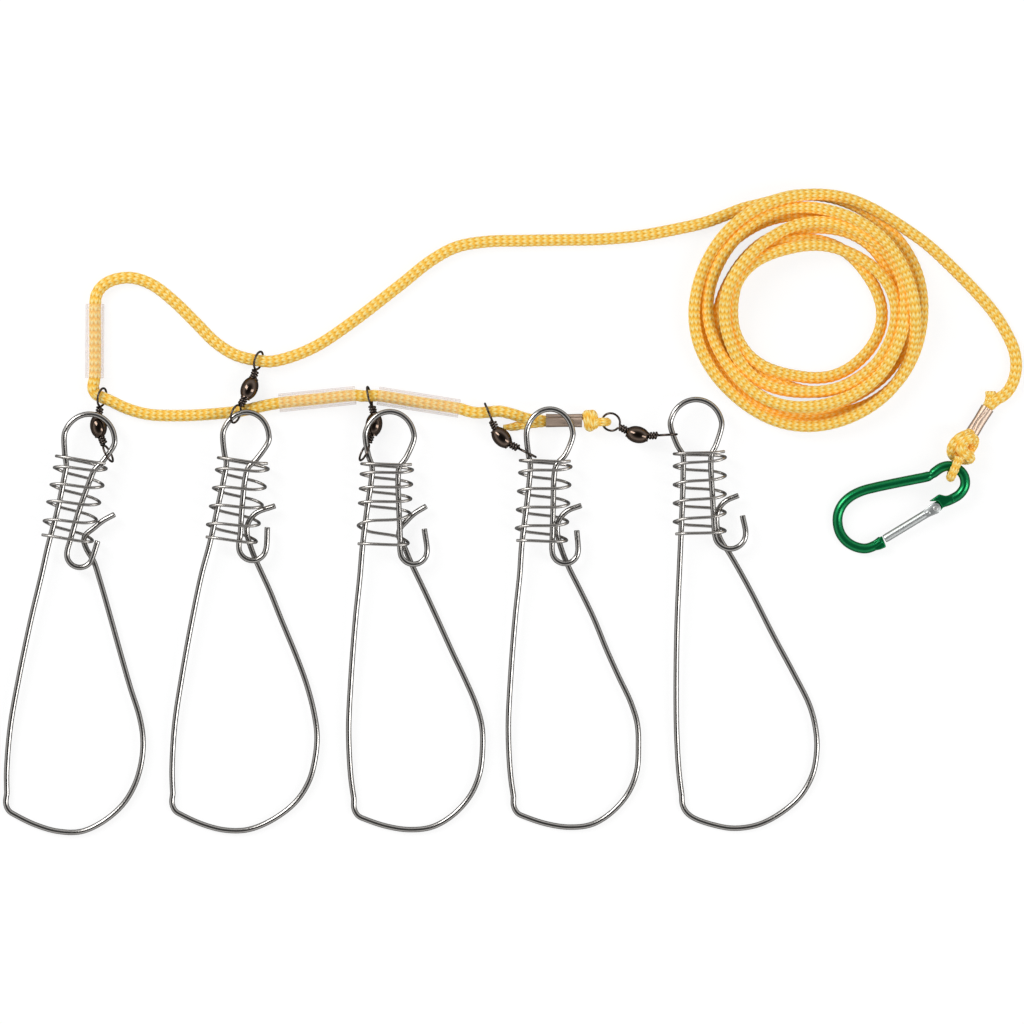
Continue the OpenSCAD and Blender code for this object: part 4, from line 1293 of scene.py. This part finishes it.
@dataclass
class Carabiner:
    """The clip: bent bar with nose and pivot tongue, sprung gate and rivet."""

    bar_finish: Material
    gate_finish: Material
    rivet_finish: Material
    bar: float = 4.0
    low: float = 2.1
    slope: float = 0.0765
    corner: tuple = (145, 12)
    rise_turn: float = 33.7
    pivot: tuple = (179.6, 23.9)
    gate_turn: float = 211.4
    gate_radii: tuple = ((2.8, 1.8), (4.4, 1.68), (22.4, 1.68), (23.4, 1.6))
    rivet: tuple = (
        (0, -1.95), (0.7, -1.9), (0.95, -1.72), (0.95, -1.62), (0.7, -1.6),
        (0.7, 1.6), (0.95, 1.62), (0.95, 1.72), (0.7, 1.9), (0.35, 1.86), (0, 1.8),
    )
    route: tuple = (
        (181.9, 26), (185.4, 27.2), (189.4, 29.6), (191.4, 33), (191, 36.8), (188.6, 39.6), (185.6, 40.8),
        (182.4, 40.3), (179.6, 38.5), (177.9, 37.1), (175.9, 36.4), (172, 35.6), (164, 34), (156, 32.3),
        (150.4, 30.8), (146, 28.6), (142.8, 25.6), (141, 21.8), (140.8, 17.6), (142, 13.6), (144.6, 10.4),
        (148.2, 8.4), (152, 7.8), (155.6, 9),
    )
    nose: tuple = (158.2, 10.8)
    notch: tuple = (178.0, 37.2)
    notch_size: tuple[float, float] = (0.36, 0.7)
    tongue_radius: float = 2.2
    tongue: tuple = ((184.6, 26.0), (183.2, 28.4))
    thick: tuple = (3.7, 4.3, 1.7)
    cheek_radius: float = 2.25
    cheek_end: tuple = ((1.5, 4.6), (-1.5, 4.6))
    cheek_wall: float = 0.55
    cheek_sides: tuple[float, float] = (1.05, -1.6)
    flare: tuple = ((154.8, 10.7), (156.9, 11.7), (158.4, 12.9), (160.1, 8.4), (157.8, 7.4), (155.4, 6.9))
    hood: tuple = (
        (177.2, 26.7), (181.2, 29.5), (183.4, 28.9), (186.2, 29.2), (187.6, 26.0), (185.5, 26.4), (182.5, 24.1),
        (180.7, 26.7),
    )

    def height(self, p: tuple[float, float]) -> float:
        """Height of the middle of the tilted clip's bar over a place on the table, in mm."""
        a = math.radians(self.rise_turn)
        return self.low + self.slope * ((p[0] - self.corner[0]) * math.cos(a) + (p[1] - self.corner[1]) * math.sin(a))

    def raised(self, p: tuple[float, float]) -> Line:
        """A place on the table, lifted to the height of the bar, in mm."""
        return np.array([p[0], p[1], self.height(p)])

    def slab(self, outline: tuple, thickness: float, edge: float) -> Mesh:
        """A flat block on an outline, with rounded edges, that follows the slope of the clip, in mm."""
        return block([self.raised(p) - UP * thickness / 2 for p in outline], (0, 0, thickness), edge, 3)

    def body(self) -> Mesh:
        """The bent bar with its notch, the flared nose, the hood and the tongue that the gate turns on."""
        line = smooth(np.array([self.raised(p) for p in (*self.route, self.nose)]), 0.6)
        away = np.linalg.norm(line[:, :2] - np.array(self.notch), axis=1)
        deep, long = self.notch_size
        bar = rolled(line, self.bar / 2 - deep * np.exp(-((away / long) ** 2)), 28, End.SMALL)
        (px, py), r = self.pivot, self.tongue_radius
        tongue = [(px + r * math.cos(a), py + r * math.sin(a)) for a in np.radians(range(120, 331, 15))]
        rows = zip((self.flare, self.hood, (*tongue, *self.tongue)), self.thick, (0.5, 0.5, 0.1))
        return joined([bar, *(self.slab(*row) for row in rows)])

    def gate_shape(self, place: Matrix) -> Mesh:
        """The gate: a tube whose end is pressed into two cheeks.

        Args:
            place: Its place.

        Returns:
            The mesh in mm.
        """
        along, radii = np.array(self.gate_radii).T
        line = evenly(np.array([[0, 0, along[0]], [0, 0, along[-1]]]), 0.6)
        parts = [rolled(line, np.interp(line[:, 2], along, radii), 28, End.SMALL, up=np.array([1.0, 0.0, 0.0]))]
        r = self.cheek_radius
        cheek = [(r * math.cos(a), r * math.sin(a)) for a in np.radians(range(180, 361, 15))]
        cheek += self.cheek_end
        wall = (self.cheek_wall, 0, 0)
        parts += [block([(x, y, z) for y, z in cheek], wall, 0.14, 2) for x in self.cheek_sides]
        return placed(joined(parts), place)

    def build(self) -> None:
        """Makes the body, the gate and the rivet."""
        pivot = self.raised(self.pivot)
        fall = -math.degrees(math.atan(self.slope * math.cos(math.radians(self.gate_turn - 180 - self.rise_turn))))
        rivet = spun([*self.rivet], 28)
        rows = (
            (self.body(), "carabiner_body", "carabiner", self.bar_finish, "bar"),
            (self.gate_shape(aim(pivot, self.gate_turn, fall)), "carabiner_gate", "gate", self.gate_finish, "gate"),
            (placed(rivet, Matrix.Translation(pivot)), "carabiner_rivet", "carabiner", self.rivet_finish, "rivet"),
        )
        for bm, node, body, finish, slot in rows:
            stand_for(finish_piece(bm, node + "_shape", finish), body, slot, node)


# ---------------------------------------------------------------- studio


@dataclass(frozen=True)
class Studio:
    """Pale floor, soft lamps and the camera straight above."""

    middle: tuple[float, float] = (10.4, 22.4)
    span: float = 409.6
    reach: float = 2200.0

    def camera(self) -> None:
        """Sets the camera straight above, at the photograph's angle."""
        data = bpy.data.cameras.new("camera")
        data.sensor_width = 36.0
        data.lens = 36.0 * (self.reach - 4.0) / self.span
        data.clip_start, data.clip_end = 0.01, 20.0
        camera = bpy.data.objects.new("camera", data)
        camera.location = (self.middle[0] * MM, self.middle[1] * MM, self.reach * MM)
        bpy.context.scene.collection.objects.link(camera)
        bpy.context.scene.camera = camera

    def lamp(self, name: str, place: tuple, size: tuple, power: float) -> None:
        """Adds a soft panel lamp that faces the object.

        Args:
            name: Its name.
            place: Where it stands, in metres.
            size: Its width and height, in metres.
            power: Its power in watts.
        """
        data = bpy.data.lights.new(name, "AREA")
        data.shape, data.size, data.size_y, data.energy = "RECTANGLE", size[0], size[1], power
        lamp = bpy.data.objects.new(name, data)
        lamp.location = place
        lamp.rotation_mode = "QUATERNION"
        lamp.rotation_quaternion = (Vector((0.01, 0.02, 0)) - Vector(place)).to_track_quat("-Z", "Y")
        bpy.context.scene.collection.objects.link(lamp)

    def floor(self) -> None:
        """Lays the pale floor, white to the camera apart from the shadows on it, with a painted darker grey that only
        reflections see.
        """
        bm = bmesh.new()
        bmesh.ops.create_grid(bm, x_segments=1, y_segments=1, size=3.0 / MM)
        material, n, shader = material_of("pale_floor")
        path = n.add("ShaderNodeLightPath").outputs
        # Painted reflection: the floor is darker grey to glossy rays than it is, so the metal reflects a dimmer floor.
        floor_and_dim_reflection = n.mix(path["Is Glossy Ray"], (0.82, 0.82, 0.82, 1.0), (0.36, 0.36, 0.365, 1.0))
        seen = n.math("MAXIMUM", path["Is Camera Ray"], path["Is Transmission Ray"])
        n.feed(shader, {
            "Base Color": n.mix(seen, floor_and_dim_reflection, (0.2, 0.2, 0.2, 1.0)),
            "Roughness": 0.9,
            "Specular IOR Level": 0.0,
            "Emission Color": (1.0, 1.0, 1.0, 1.0),
            "Emission Strength": n.math("MULTIPLY", seen, 0.84),
        })
        finish_piece(bm, "floor", material)

    def world(self) -> None:
        """Sets the surroundings: even and pale, darker overhead, where the camera stands."""
        world = bpy.data.worlds.new("studio")
        world.use_nodes = True
        n = Nodes(world.node_tree)
        parts = n.add("ShaderNodeSeparateXYZ", {0: n.add("ShaderNodeTexCoord").outputs["Generated"]})
        grey = n.ramp(parts.outputs[2], [
            (0.0, (0.45, 0.45, 0.46, 1)), (0.28, (0.85, 0.85, 0.85, 1)), (0.5, (1.0, 1.0, 1.0, 1)),
            (0.68, (0.45, 0.45, 0.46, 1)), (0.84, (0.1, 0.1, 0.105, 1)), (1.0, (0.04, 0.04, 0.04, 1)),
        ])
        seen = n.add("ShaderNodeLightPath").outputs["Is Camera Ray"]
        n.feed(world.node_tree.nodes["Background"], {"Color": n.mix(seen, grey, (1.0, 1.0, 1.0, 1.0)), "Strength": 1.0})
        bpy.context.scene.world = world

    def build(self) -> None:
        """Sets up everything round the object."""
        self.camera()
        self.floor()
        self.world()
        self.lamp("key", (-0.9, 0.7, 1.1), (0.5, 1.0), 12.0)
        self.lamp("fill", (1.0, -0.3, 0.9), (0.4, 0.9), 6.0)
        bpy.context.scene.view_settings.view_transform = "Standard"


def main() -> None:
    """Builds the object, piece by piece, and the studio round it."""
    logging.basicConfig(level=logging.INFO, format="%(name)s: %(message)s")
    groups = Groups()
    rope_finish = RopeFinish().make(groups)
    metals = [
        MetalFinish(name, linear(*colour), linear(*worn), *rest).make(groups) for name, colour, worn, *rest in METALS
    ]
    steel, spring_steel, nickel, shell, crimp, green, silver, rivet = metals
    clear = ClearFinish().make(groups)

    Studio().build()
    clip = Carabiner(green, silver, rivet)
    knots = Knots(rope_finish)
    ends = [knots.end_knot(), knots.clip_knot(), knots.end_loop(), knots.clip_loop(clip.height(knots.strap_point))]
    ends += knots.tails()
    ends.append(Ferrule(crimp, "end_ferrule", (24, 59, 2.9), (38.4, 59, 2.9), 1, 0.0, 27.0, 3.2).build())
    ends.append(Ferrule(crimp, "clip_ferrule", (200.7, 64, 2.9), (194.2, 53.5, 2.9), 1, 0.35, -8.0).build())
    Rope(rope_finish).build(ends)
    SpacerTubes(clear).build()
    Swivels(nickel, shell).build()
    Snaps(steel, spring_steel).build()
    clip.build()
    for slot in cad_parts["gate_spring"].material_slots:
        slot.material = spring_steel


if __name__ == "__main__":
    main()
